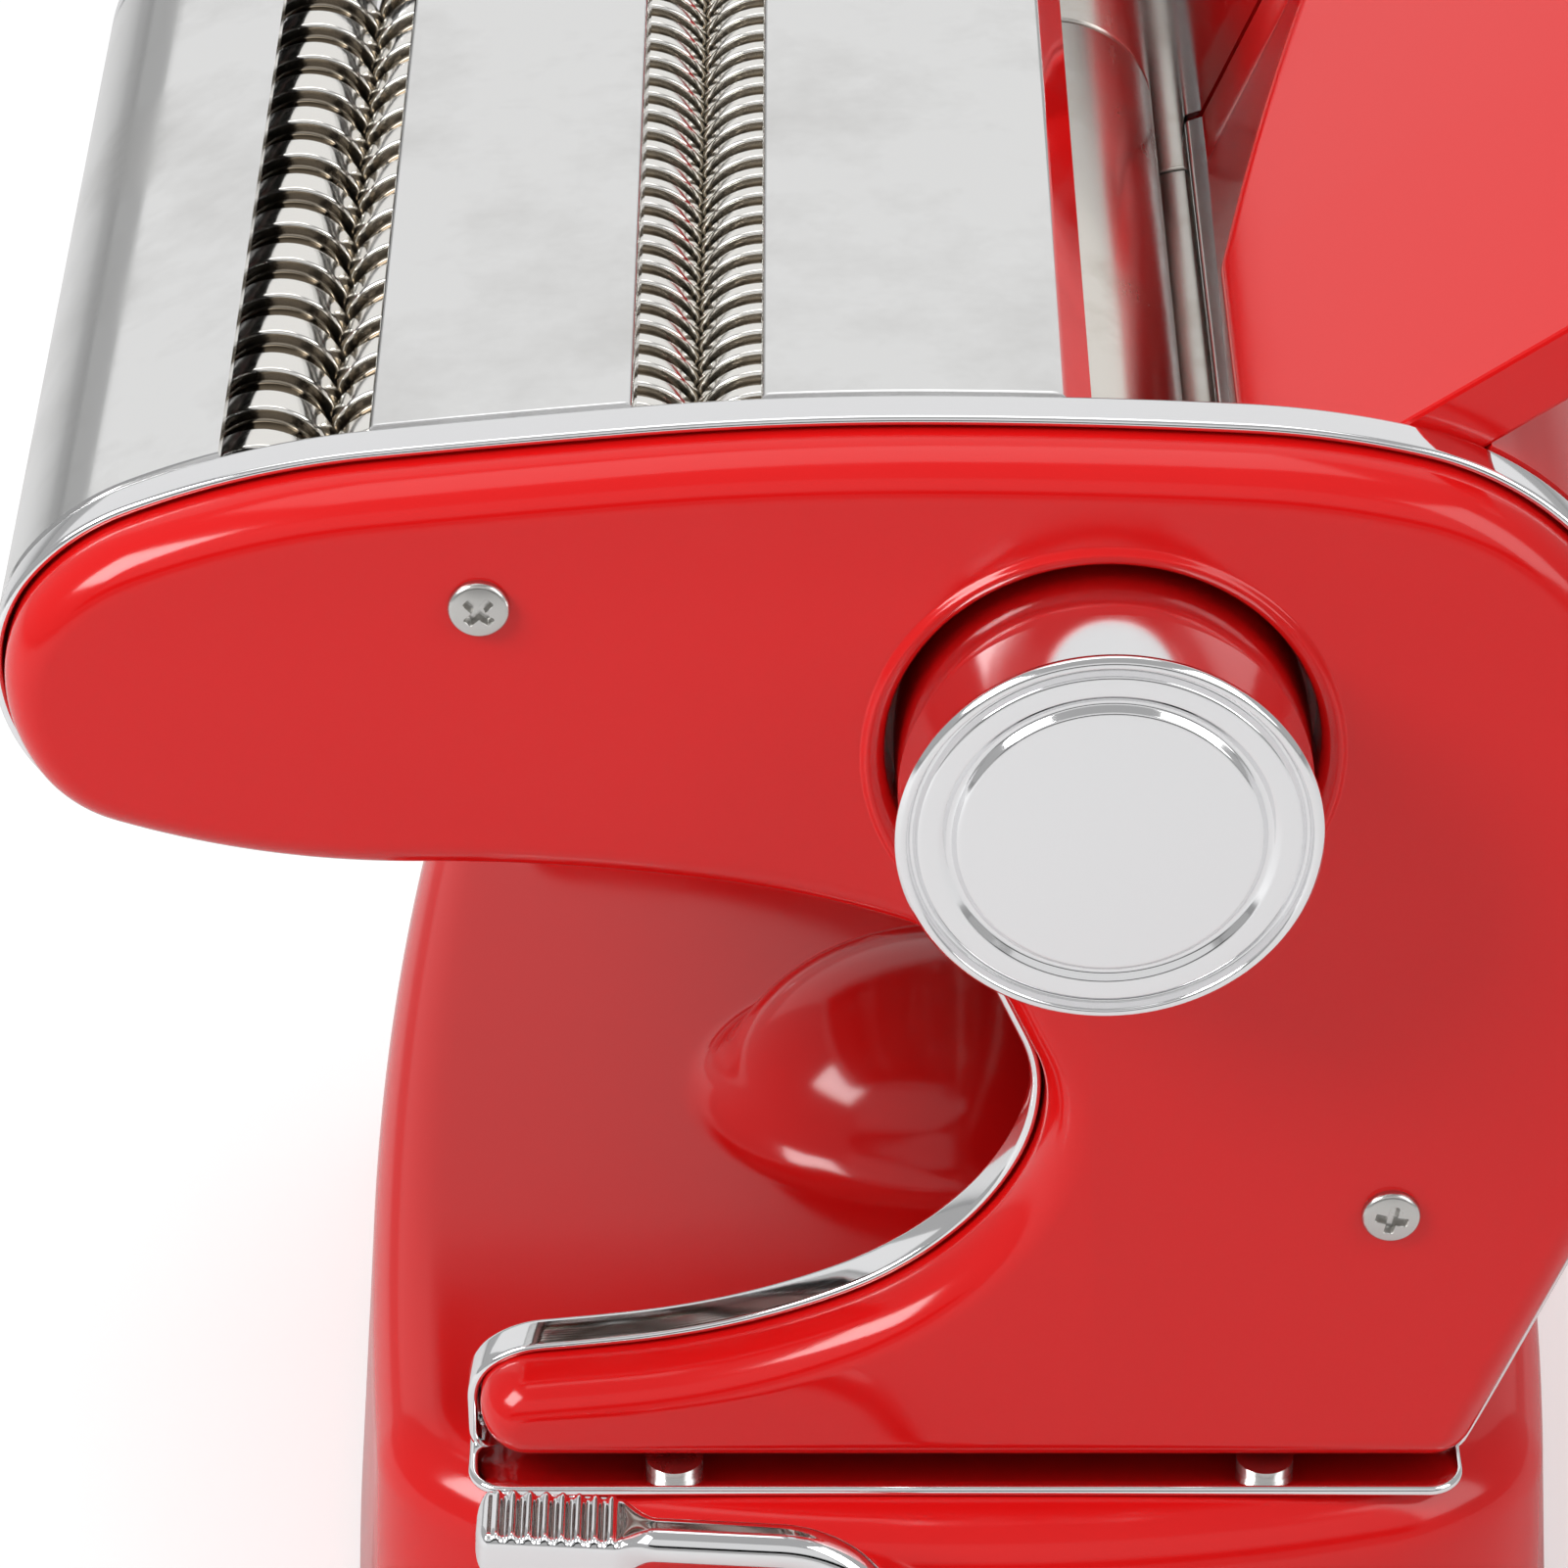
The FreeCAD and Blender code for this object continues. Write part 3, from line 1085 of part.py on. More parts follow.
doc.recompute()
failed = [item.Label for item in doc.Objects if {"Invalid", "Error"} & set(item.State)]
for piece in FINISHED:
    shape = piece.Shape
    if shape.isNull() or not shape.isValid() or not shape.Solids:
        failed.append(piece.Label + " shape")
if failed:
    raise RuntimeError("failed pieces: " + ", ".join(failed))
os.makedirs("parts", exist_ok=True)
for piece in FINISHED:
    piece.Shape.exportStep("parts/%s.step" % piece.Label)
print(len(FINISHED), "pieces written")
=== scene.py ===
import json
import math

import bmesh
import bpy
import numpy as np
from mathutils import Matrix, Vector


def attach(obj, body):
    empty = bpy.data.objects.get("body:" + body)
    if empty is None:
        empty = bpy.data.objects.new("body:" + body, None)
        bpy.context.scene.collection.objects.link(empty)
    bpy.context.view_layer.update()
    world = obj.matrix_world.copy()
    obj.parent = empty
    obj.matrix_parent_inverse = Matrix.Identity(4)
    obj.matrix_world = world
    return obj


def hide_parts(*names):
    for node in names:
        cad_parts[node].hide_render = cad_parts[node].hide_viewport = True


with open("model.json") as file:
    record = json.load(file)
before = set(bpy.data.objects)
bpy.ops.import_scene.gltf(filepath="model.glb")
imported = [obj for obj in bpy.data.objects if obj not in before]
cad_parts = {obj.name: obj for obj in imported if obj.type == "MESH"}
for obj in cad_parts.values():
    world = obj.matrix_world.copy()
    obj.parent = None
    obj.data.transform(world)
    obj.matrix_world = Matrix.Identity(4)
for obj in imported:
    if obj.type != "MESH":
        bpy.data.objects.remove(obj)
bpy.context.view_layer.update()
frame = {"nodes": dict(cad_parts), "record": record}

# Lengths are in millimetres until a mesh is made.
# Y runs along the rollers, with the knob at its negative end.
DECK = 53.0  # flat top of the base
TOE_X, HEEL_X = -58.9, 59.4  # ends of the side plates' feet
PLATE_OUT, COVER_OUT = 71.2, 83.4  # outer faces of the end plates and of the covers
ROLLER_END, NEAR_JOURNAL, SHAFT_OUT = 69.65, -72.24, 81.0  # places along Y
SOCKET_FLATS, SOCKET_DEPTH, SOCKET_RIM = 5.5, 14.0, 3.6
DRIVE = (32.1, 136.3)
ADJUST = (13.112, 157.687)
KNOB = (13.776, 156.939)
CUTTERS = {"wide": (-72.1, 175.3, 8.7), "fine": (-30.9, 180.8, 4.7)}  # middle X, Z and ring pitch of a pair
CUTTER_SPREAD = 7.3  # from the middle of a pair to each of its rollers


# Curves in the XZ plane.

def unit(vector):
    """The vector at length one."""
    return vector / np.linalg.norm(vector)


def turned(vector, angle):
    """A direction turned by angles: (x cos a - z sin a, x sin a + z cos a)."""
    c, s = np.cos(angle), np.sin(angle)
    return np.stack([vector[0] * c - vector[1] * s, vector[0] * s + vector[1] * c], -1)


def bend_to(heading, chord):
    """Half the turn of the arc that leaves along a heading and spans a chord."""
    return math.atan2(heading[0] * chord[1] - heading[1] * chord[0], float(np.dot(heading, chord)))


def arc(start, heading, end, step=0.7):
    """Arc p(f) = start + |c| sin(f a) / sin(a) turned(heading, f a), f in [0, 1), a the half turn."""
    chord = end - start
    half, length = bend_to(heading, chord), np.linalg.norm(chord)
    f = np.linspace(0, 1, max(4, int(length / step)), endpoint=False)
    reach = f * length if abs(half) < 1e-6 else length * np.sin(f * half) / math.sin(half)
    return start + reach[:, None] * turned(heading, f * half)


def two_arcs(start, leave, end, arrive):
    """Points of the two tangent arcs between a point and heading and the next ones."""
    chord = end - start
    a, b, c = 2 * (1 - leave @ arrive), 2 * chord @ (leave + arrive), chord @ chord
    reach = c / b if a < 1e-9 else (math.sqrt(b * b + 4 * a * c) - b) / (2 * a)
    joint = (start + leave * reach + end - arrive * reach) / 2
    middle = turned(leave, 2 * bend_to(leave, joint - start))
    return np.vstack([arc(start, leave, joint), arc(joint, middle, end)])


def bezier(start, middle, end, t):
    """Quadratic curve (1 - t)^2 start + 2 t (1 - t) middle + t^2 end."""
    return (1 - t) ** 2 * start + 2 * t * (1 - t) * middle + t ** 2 * end


def corner(before, here, after, radius):
    """Rounded corner as its two tangent points and the heading at the first."""
    back, on = unit(before - here), unit(after - here)
    trim = radius / math.tan(math.acos(float(np.clip(back @ on, -1, 1))) / 2)
    return here + back * trim, here + on * trim, -back


def even(points, count, closed=True):
    """The same curve with points at equal steps of its length."""
    if closed:
        points = np.vstack([points, points[:1]])
    along = np.concatenate([[0], np.cumsum(np.linalg.norm(np.diff(points, axis=0), axis=1))])
    s = np.linspace(0, along[-1], count, endpoint=not closed)
    return np.stack([np.interp(s, along, points[:, k]) for k in range(points.shape[1])], -1)


def normals(points, closed=True):
    """Unit normals to the right of the way along a curve, from central differences."""
    if closed:
        way = np.roll(points, -1, 0) - np.roll(points, 1, 0)
    else:
        way = np.gradient(points, axis=0)
    way = way / np.linalg.norm(way, axis=1, keepdims=True)
    return np.stack([way[:, 1], -way[:, 0]], -1)


def eased(points, radius, count=5):
    """Open polyline with its inner corners replaced by small curves of about a radius."""
    points = [np.array(p, float) for p in points]
    out = [points[0][None]]
    for before, here, after in zip(points, points[1:], points[2:]):
        room = 0.45 * min(np.linalg.norm(before - here), np.linalg.norm(after - here))
        back, on = unit(before - here), unit(after - here)
        half = math.acos(float(np.clip(back @ on, -1, 1))) / 2
        trim = min(room, radius / max(1e-6, math.tan(half)))
        out.append(bezier(here + back * trim, here, here + on * trim, np.linspace(0, 1, count)[:, None]))
    return np.vstack(out + [points[-1][None]])


# Side profile: X, height over the deck and heading in degrees at each station, from the heel over the head.
STATIONS = {
    "hip": (70.6, 28.4, 68.5), "back": (84.5, 85.0, 90.0), "shoulder": (64.4, 129.3, 136.0),
    "crown": (28.6, 141.5, 176.8), "brow": (-37.7, 141.1, 185.3), "bridge": (-93.0, 131.2, 202.6),
    "nose": (-108.6, 110.5, 270.0), "jaw": (-96.5, 91.6, 340.7), "chin": (-27.9, 83.2, 350.6),
    "throat": (2.9, 66.8, 294.0), "gullet": (7.1, 54.0, 270.0), "lip": (-0.4, 35.7, 229.0),
    "ramp": (-32.0, 19.2, 192.4), "instep": (-50.0, 16.6, 186.0), "toe": (TOE_X, 8.4, 270.0),
}
# The covers have a rounder toe, like a finger.
FINGER = {"instep": (-51.4, 16.6, 186.0), "toe": (TOE_X, 9.2, 270.0)}


def station(name, finger=False):
    """Point and heading of the side profile at a named place, with the cover's rounder toe for finger."""
    x, h, way = FINGER[name] if finger and name in FINGER else STATIONS[name]
    return np.array([x, DECK + h]), turned((1.0, 0.0), math.radians(way))


def run(first, last, finger=False):
    """Points of the side profile between two stations."""
    names = list(STATIONS)
    names = names[names.index(first):names.index(last) + 1]
    return np.vstack([two_arcs(*station(a, finger), *station(b, finger)) for a, b in zip(names, names[1:])])


def side_outline(count, lift, radius, finger=False):
    """Closed side profile, counter-clockwise seen from the knob, raised at the foot by a lift."""
    hip = station("hip")[0]
    heel = np.array([HEEL_X, DECK])
    heel = heel + (hip - heel) * lift / (hip[1] - heel[1])
    sole, toe = np.array([TOE_X, DECK + lift]), station("toe", finger)[0]
    toe_end, sole_start, down = corner(toe, sole, heel, radius)
    sole_end, heel_start, across = corner(sole, heel, hip, radius)
    points = [np.linspace(heel_start, hip, 30, endpoint=False), run("hip", "toe", finger)]
    points += [np.linspace(toe, toe_end, 4, endpoint=False), arc(toe_end, down, sole_start)]
    points += [np.linspace(sole_start, sole_end, 60, endpoint=False), arc(sole_end, across, heel_start)]
    return even(np.vstack(points), count)


def ring(centre, radius, count):
    """Circle of an XZ drawing, counter-clockwise."""
    a = np.linspace(0, 2 * np.pi, count, endpoint=False)
    return np.stack([centre[0] + radius * np.cos(a), centre[1] + radius * np.sin(a)], -1)


# Meshes.

class Build:
    """Patches of one piece, gathered as points and polygons and welded at the end."""

    def __init__(self):
        self.points, self.polygons, self.total = [], [], 0

    def add(self, points):
        """Adds points (n, 3) and returns their indices."""
        points = np.asarray(points, float).reshape(-1, 3)
        self.points.append(points)
        self.total += len(points)
        return np.arange(self.total - len(points), self.total)

    def grid(self, points, wrap_u=False, wrap_v=False):
        """Quads over a grid p(u, v) of shape (nu, nv, 3); returns its indices."""
        nu, nv = points.shape[:2]
        index = self.add(points).reshape(nu, nv)
        i = np.vstack([index, index[:1]]) if wrap_u else index
        i = np.hstack([i, i[:, :1]]) if wrap_v else i
        quads = np.stack([i[:-1, :-1], i[1:, :-1], i[1:, 1:], i[:-1, 1:]], -1).reshape(-1, 4)
        self.polygons += quads.tolist()
        return index

    def face(self, index):
        """One polygon."""
        self.polygons.append(list(index))

    def close(self, index):
        """Polygons over the first and the last loop of a band."""
        self.face(index[:, 0])
        self.face(index[:, -1])

    def piece(self, name, body, slot, sharp, replaces=(), finish=None, groove_shade_mix=None):
        """Welds the patches to one object on a body; the last argument gives an attribute from points in mm
        that mixes in painted shade.
        """
        mesh = bpy.data.meshes.new(name)
        mesh.from_pydata((np.vstack(self.points) * 0.001).tolist(), [], self.polygons)
        work = bmesh.new()
        work.from_mesh(mesh)
        bmesh.ops.remove_doubles(work, verts=work.verts, dist=2e-6)
        bmesh.ops.recalc_face_normals(work, faces=work.faces)
        work.to_mesh(mesh)
        work.free()
        mesh.polygons.foreach_set("use_smooth", np.ones(len(mesh.polygons), bool))
        mesh.set_sharp_from_angle(angle=math.radians(sharp))
        # Painted shade: the attribute is 0 at the cutters' groove roots and 1 near the ring tops, and it
        # mixes a dark colour into the steel there.
        if groove_shade_mix:
            points = np.empty(3 * len(mesh.vertices))
            mesh.vertices.foreach_get("co", points)
            value = groove_shade_mix(1000 * points.reshape(-1, 3))
            mesh.attributes.new("groove_shade_mix", "FLOAT", "POINT").data.foreach_set("value", value)
        piece = bpy.data.objects.new(name, mesh)
        bpy.context.scene.collection.objects.link(piece)
        mesh.materials.append(MATERIALS[finish or slot])
        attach(piece, body)
        if replaces:
            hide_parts(*replaces)


def upright(points, y):
    """XZ points at a place along Y."""
    return np.stack([points[:, 0], np.full(len(points), y), points[:, 1]], -1)


def flat(points, z):
    """XY points at a height."""
    return np.stack([points[:, 0], points[:, 1], np.full(len(points), z)], -1)


def band(build, outline, levels, lift=upright):
    """Grid p(s, t) = outline(s) - d(t) n(s) at level y(t), from (d, y) pairs; returns its indices."""
    side = normals(outline)
    return build.grid(np.stack([lift(outline - d * side, y) for d, y in levels], 1), wrap_u=True)


def cut_face(build, outline, rings, points):
    """Two polygons that fill an outline round a chain of holes; indices and points in XZ."""
    centres = [points[r].mean(0) for r in rings]

    def nearest(index, target):
        return int(np.argmin(np.linalg.norm(points[index] - target, axis=1)))

    # The cut between the polygons comes in from the left for a row of holes and from above for one.
    towards = np.array([-40.0, 0.0]) if len(rings) > 1 else np.array([0.0, 60.0])
    enter = nearest(outline, centres[0] + towards)
    leave = nearest(outline, centres[-1] + np.array([60.0, 0.0]))
    gates, before = [], points[outline[enter]]
    for k, r in enumerate(rings):
        after = centres[k + 1] if k + 1 < len(rings) else points[outline[leave]]
        gates.append((nearest(r, before), nearest(r, after)))
        before = points[r[gates[-1][1]]]

    def clockwise(r, a, b):
        return r[(a - np.arange((a - b) % len(r) + 1)) % len(r)]

    def onward(a, b):
        return outline[(a + np.arange((b - a) % len(outline) + 1)) % len(outline)]

    there = [clockwise(r, a, b) for r, (a, b) in zip(rings, gates)]
    back = [clockwise(r, b, a) for r, (a, b) in zip(rings, gates)][::-1]
    build.face(np.concatenate([onward(leave, enter)] + there))
    build.face(np.concatenate([onward(enter, leave)] + back))


def revolve(build, profile, centre, count):
    """Profile of (radius, y) turned about a line along Y: p(s, a) = c + r(s)(cos a, sin a) at y(s)."""
    profile = np.asarray(profile, float)
    a = np.linspace(0, 2 * np.pi, count, endpoint=False)
    x = centre[0] + profile[:, :1] * np.cos(a)
    z = centre[1] + profile[:, :1] * np.sin(a)
    build.grid(np.stack([x, np.repeat(profile[:, 1:], count, 1), z], -1), wrap_v=True)


def sheet(build, path, wall, reach):
    """Bent sheet p(s, y) = c(s), and c(s) - wall n(s) below it, swept along Y from -reach to reach."""
    loop = np.vstack([path, (path - wall * normals(path, False))[::-1]])
    index = build.grid(np.stack([upright(loop, y) for y in (-reach, reach)], 1), wrap_u=True)
    n = len(path)
    for rows in (index[:, 0], index[:, -1]):
        quads = np.stack([rows[:n - 1], rows[1:n], rows[::-1][1:n], rows[::-1][:n - 1]], -1)
        build.polygons += quads.tolist()


# Materials.

def node(tree, kind, links=(), **values):
    """New shader node with socket values and links (socket, from_socket)."""
    made = tree.nodes.new(kind)
    for name, value in values.items():
        made.inputs[name].default_value = value
    for name, source in links:
        tree.links.new(source, made.inputs[name])
    return made


def worked_out(tree, operation, *terms):
    """Output of a math node whose terms are sockets or numbers."""
    step = tree.nodes.new("ShaderNodeMath")
    step.operation = operation
    for socket, term in zip(step.inputs, terms):
        if isinstance(term, float):
            socket.default_value = term
        else:
            tree.links.new(term, socket)
    return step.outputs["Value"]


def ranged(tree, source, low, high, to_low=0.0, to_high=1.0):
    """Output of a map range node, from low and high to two other values."""
    values = {"From Min": low, "From Max": high, "To Min": to_low, "To Max": to_high}
    return node(tree, "ShaderNodeMapRange", [("Value", source)], **values).outputs["Result"]


def wear_group():
    """Node group: soft smudges, fine lengthwise streaks and a grain height from a position in metres."""
    group = bpy.data.node_groups.new("wear", "ShaderNodeTree")
    group.interface.new_socket("Position", in_out="INPUT", socket_type="NodeSocketVector")
    inside = group.nodes.new("NodeGroupInput")
    outside = group.nodes.new("NodeGroupOutput")
    for name in ("Smudge", "Streak", "Grain"):
        group.interface.new_socket(name, in_out="OUTPUT", socket_type="NodeSocketFloat")
    place = inside.outputs["Position"]
    stretch = node(group, "ShaderNodeMapping", [("Vector", place)], Scale=(1.0, 0.02, 1.0))
    lengthwise = stretch.outputs["Vector"]
    smudge = node(group, "ShaderNodeTexNoise", [("Vector", place)], Scale=38.0, Detail=6.0, Roughness=0.62)
    streak = node(group, "ShaderNodeTexNoise", [("Vector", lengthwise)], Scale=900.0, Detail=3.0)
    grain = node(group, "ShaderNodeTexNoise", [("Vector", place)], Scale=420.0, Detail=2.0)
    group.links.new(ranged(group, smudge.outputs["Fac"], 0.46, 0.74), outside.inputs["Smudge"])
    group.links.new(streak.outputs["Fac"], outside.inputs["Streak"])
    group.links.new(grain.outputs["Fac"], outside.inputs["Grain"])
    return group


WEAR = wear_group()
GRAIN_DEPTH = 0.0004  # metres


def placed_wear(tree):
    """Outputs of the wear group, placed in a material on its Object coordinates."""
    coords = tree.nodes.new("ShaderNodeTexCoord")
    wear = tree.nodes.new("ShaderNodeGroup")
    wear.node_tree = WEAR
    tree.links.new(coords.outputs["Object"], wear.inputs["Position"])
    return wear.outputs


def material(name, colour, metal, rough, smudged=0.0, streaked=0.0, grain=0.0, specular=0.5,
             stain=None, groove_shade=None):
    """Principled finish: roughness with smudges and streaks, a stain or a painted shade of the cutters'
    groove roots, and grain.
    """
    made = bpy.data.materials.new(name)
    made.use_nodes = True
    tree = made.node_tree
    shader = tree.nodes["Principled BSDF"]
    shader.inputs["Base Color"].default_value = (*colour, 1.0)
    shader.inputs["Metallic"].default_value = metal
    shader.inputs["Specular IOR Level"].default_value = specular
    shader.inputs["Roughness"].default_value = rough
    if smudged or grain:
        wear = placed_wear(tree)
    if smudged:
        smudges = worked_out(tree, "MULTIPLY_ADD", wear["Smudge"], smudged, rough - streaked / 2)
        roughness = worked_out(tree, "MULTIPLY_ADD", wear["Streak"], streaked, smudges)
        roughness.node.use_clamp = True
        tree.links.new(roughness, shader.inputs["Roughness"])
    if stain or groove_shade:
        tone = tree.nodes.new("ShaderNodeMix")
        tone.data_type = "RGBA"
        factor, low_tone, high_tone = tone.inputs[0], tone.inputs[6], tone.inputs[7]
        result = tone.outputs[2]
        source = wear["Smudge"]
        # Painted shade: the attribute darkens the colour towards the cutters' groove roots.
        if groove_shade:
            source = tree.nodes.new("ShaderNodeAttribute").outputs["Fac"]
            source.node.attribute_name = "groove_shade_mix"
        low_tone.default_value = (*(groove_shade or colour), 1.0)
        high_tone.default_value = (*(colour if groove_shade else stain), 1.0)
        tree.links.new(source, factor)
        tree.links.new(result, shader.inputs["Base Color"])
    if grain:
        height = [("Height", wear["Grain"])]
        bump = node(tree, "ShaderNodeBump", height, Strength=grain, Distance=GRAIN_DEPTH)
        tree.links.new(bump.outputs["Normal"], shader.inputs["Normal"])
    return made


RED = (0.66, 0.006, 0.006)
MATERIALS = {
    "red_plastic": material("red_gloss", RED, 0.0, 0.13, smudged=0.05, grain=0.012, specular=0.42),
    "grip_plastic": material("red_grip", RED, 0.0, 0.16, smudged=0.05, grain=0.012, specular=0.42),
    "chrome_plate": material("chrome", (0.86, 0.86, 0.87), 1.0, 0.07, smudged=0.04),
    "polished_steel": material("polished_sheet", (0.84, 0.84, 0.835), 1.0, 0.09, smudged=0.12, streaked=0.04,
                               stain=(0.70, 0.695, 0.685)),
    "roller_steel": material("turned_steel", (0.80, 0.76, 0.70), 1.0, 0.22, smudged=0.10, streaked=0.08,
                             stain=(0.62, 0.56, 0.48)),
    # Painted shade: dark brown mixed into the rings' steel towards their groove roots.
    "cutter_steel": material("cutter_rings", (0.90, 0.88, 0.84), 1.0, 0.13, smudged=0.06, streaked=0.05,
                             groove_shade=(0.22, 0.18, 0.13)),
    "gear_steel": material("machined_steel", (0.58, 0.57, 0.55), 1.0, 0.26, smudged=0.06),
    "nylon": material("nylon", (0.78, 0.76, 0.70), 0.0, 0.45),
    "rubber": material("rubber", (0.03, 0.03, 0.03), 0.0, 0.65, grain=0.05),
    "floor_plastic": material("black_plastic", (0.04, 0.04, 0.04), 0.0, 0.45, grain=0.04),
}
for part in frame["record"]["subparts"]:
    mesh = frame["nodes"][part["node"]].data
    mesh.materials.clear()
    mesh.materials.append(MATERIALS[part["material_slot"]])


# Side covers.

def quarter(radius_d, radius_y, d, y, count=14):
    """Rounded edge from a wall at inset d up to a face at level y: d + a(1 - cos f), y - b(1 - sin f)."""
    f = np.linspace(0, np.pi / 2, count)
    return list(zip(d + radius_d * (1 - np.cos(f)), y - radius_y * (1 - np.sin(f))))


def knob_port():
    """Radii and levels of the knob's opening: raised collar, rounded mouth, wall and a floor ring."""
    mouth, wall, floor_hole, floor_rise = 26.0, 24.0, 19.0, -9.6
    collar = np.linspace(0, 1, 14)
    fall = np.linspace(0, np.pi / 2, 10)[1:]
    radii = [mouth + 0.9 - 0.9 * collar, mouth - (mouth - wall) * np.sin(fall),
             [wall, floor_hole, floor_hole]]
    rise = [0.4 - 0.4 * np.cos(np.pi * collar), 3.0 * np.cos(fall) - 2.2,
            [floor_rise, floor_rise, PLATE_OUT - COVER_OUT]]
    return np.concatenate(radii), COVER_OUT + np.concatenate(rise)


def crank_port():
    """Radii and levels of an opening for the crank: rounded edge and wall."""
    radius, edge = 8.0, 0.5
    fall = np.linspace(0, np.pi / 2, 8)
    radii = np.concatenate([radius + edge - edge * np.sin(fall), [radius]])
    return radii, np.concatenate([COVER_OUT - edge + edge * np.cos(fall), [PLATE_OUT]])


def cover(end, sign):
    """Moulded cover p(s, t) = c(s) - d(t) n(s) at y(t), with a flat front, its ports and their walls."""
    build = Build()
    foot_lift, foot_radius, inset, round_y = 1.7, 7.4, 1.6, 6.4
    round_d = 4.8 if end == "near" else 3.0
    outline = side_outline(900, foot_lift, foot_radius, True)
    levels = [(inset, PLATE_OUT)] + quarter(round_d, round_y, inset, COVER_OUT)
    index = band(build, outline, levels, lambda p, y: upright(p, sign * y))
    if end == "near":
        centres = [KNOB]
        radii, depths = knob_port()
    else:
        centres = [(x + CUTTER_SPREAD, z) for x, z, _ in CUTTERS.values()] + [DRIVE]
        radii, depths = crank_port()
    fronts, backs = [], []
    for centre in centres:
        walls = np.stack([upright(ring(centre, r, 160), sign * y) for r, y in zip(radii, depths)], 1)
        hole = build.grid(walls, wrap_u=True)
        fronts.append(hole[:, 0])
        backs.append(hole[:, -1])
    points = np.vstack(build.points)[:, [0, 2]]
    cut_face(build, index[:, -1], fronts, points)
    cut_face(build, index[:, 0], backs, points)
    build.piece(end + "_moulded_cover", "frame", "red_plastic", 40.0, [end + "_cover"])


# End plates.

def end_pan(end, sign):
    """Pressed pan p(s, t) = c(s) - d(t) n(s): inner face, bent edge, rolled rim, and a foot flange."""
    build = Build()
    outline = side_outline(900, 0.0, 3.2)
    inner, bend, rim, roll, inset = 69.97, 1.6, 75.4, 0.6, 2.4
    levels = [(inset, inner)]
    levels += [(bend - bend * math.sin(a), inner + bend - bend * math.cos(a))
               for a in np.linspace(0, np.pi / 2, 7)]
    levels += [(roll - roll * math.cos(a), rim + roll * math.sin(a)) for a in np.linspace(0, np.pi, 9)]
    levels += [(1.2, PLATE_OUT + 0.3), (1.6, PLATE_OUT), (inset, PLATE_OUT)]
    build.close(band(build, outline, levels, lambda p, y: upright(p, sign * y)))
    back, front, radius, lip = 71.0, 84.1, 4.5, 0.7
    toe, heel = np.array([TOE_X, front]), np.array([HEEL_X, front])
    plan = [arc(toe + [radius, 0], np.array([-1.0, 0]), toe + [0, -radius], 0.4),
            np.array([[TOE_X, back], [HEEL_X, back]]),
            arc(heel + [0, -radius], np.array([0, 1.0]), heel + [-radius, 0], 0.4)]
    levels = [(2.2, DECK + 0.02)]
    levels += [(lip - lip * math.sin(a), DECK + 0.72 - lip * math.cos(a))
               for a in np.linspace(0, np.pi, 11)]
    levels += [(2.0, DECK + 1.2)]
    build.close(band(build, even(np.vstack(plan), 420), levels, lambda p, z: flat(p * [1, sign], z)))
    build.piece(end + "_end_pan", "frame", "chrome_plate", 40.0, [end + "_end_plate"])


for end_name, end_sign in (("near", -1), ("far", 1)):
    cover(end_name, end_sign)
    end_pan(end_name, end_sign)


# Screws.

def screw_heads(end, sign, places):
    """Pan heads with a cross recess: y(r, a) = crown - 0.5 (r / R)^2 - drop(r) - depth cross(u, v)."""
    build = Build()
    level, edge, count, crown, depth = 2.9, 0.5, 44, 1.45, 1.0
    outer = level + edge
    turn = np.linspace(0, np.pi / 2, 8)[1:]
    r = np.concatenate([np.linspace(0.001, level, count), level + edge * np.sin(turn), [outer]])[:, None]
    drop = np.concatenate([np.zeros(count), edge * (1 - np.cos(turn)), [0.95]])[:, None]
    a = np.linspace(0, 2 * np.pi, 160, endpoint=False)

    def slot(across, along):
        return np.clip((0.55 - across) / 0.2, 0, 1) * np.clip((1.9 - along) / 0.3, 0, 1)

    for x, z, twist in places:
        u, v = np.abs(r * np.cos(a + twist)), np.abs(r * np.sin(a + twist))
        height = crown - 0.5 * (r / outer) ** 2 - drop - depth * np.maximum(slot(u, v), slot(v, u))
        grid = np.stack([x + r * np.cos(a), sign * (COVER_OUT + height), z + r * np.sin(a)], -1)
        build.close(build.grid(grid, wrap_v=True).T)
    build.piece(end + "_screw_heads", "frame", "gear_steel", 50.0, [end + "_cover_screws"])


screw_heads("near", -1, [(-54.3, 176.2, 0.75), (48.5, 94.4, 0.2)])
screw_heads("far", 1, [(-50.0, 169.0, 0.5), (48.5, 94.4, 1.0)])


# Steel plates over the head.

def lip_points(edge, way, inward, radius, angle, length):
    """Lip that bends from an edge towards the inside: an arc, then a straight run."""
    a = np.linspace(0, angle, 8)[1:, None]
    bend = edge + radius * (np.sin(a) * way + (1 - np.cos(a)) * inward)
    last = math.cos(angle) * way + math.sin(angle) * inward
    return np.vstack([bend, bend[-1] + np.linspace(0, length, 3)[1:, None] * last])


def head_path(left, right):
    """Part of the head's profile between two X places, from right to left over the top."""
    points = even(run("crown", "chin"), 900, False)
    inside = (points[:, 0] >= left) & (points[:, 0] <= right)
    if left > points[:, 0].min():
        inside &= np.arange(len(points)) < np.argmin(points[:, 0])
    return points[inside]


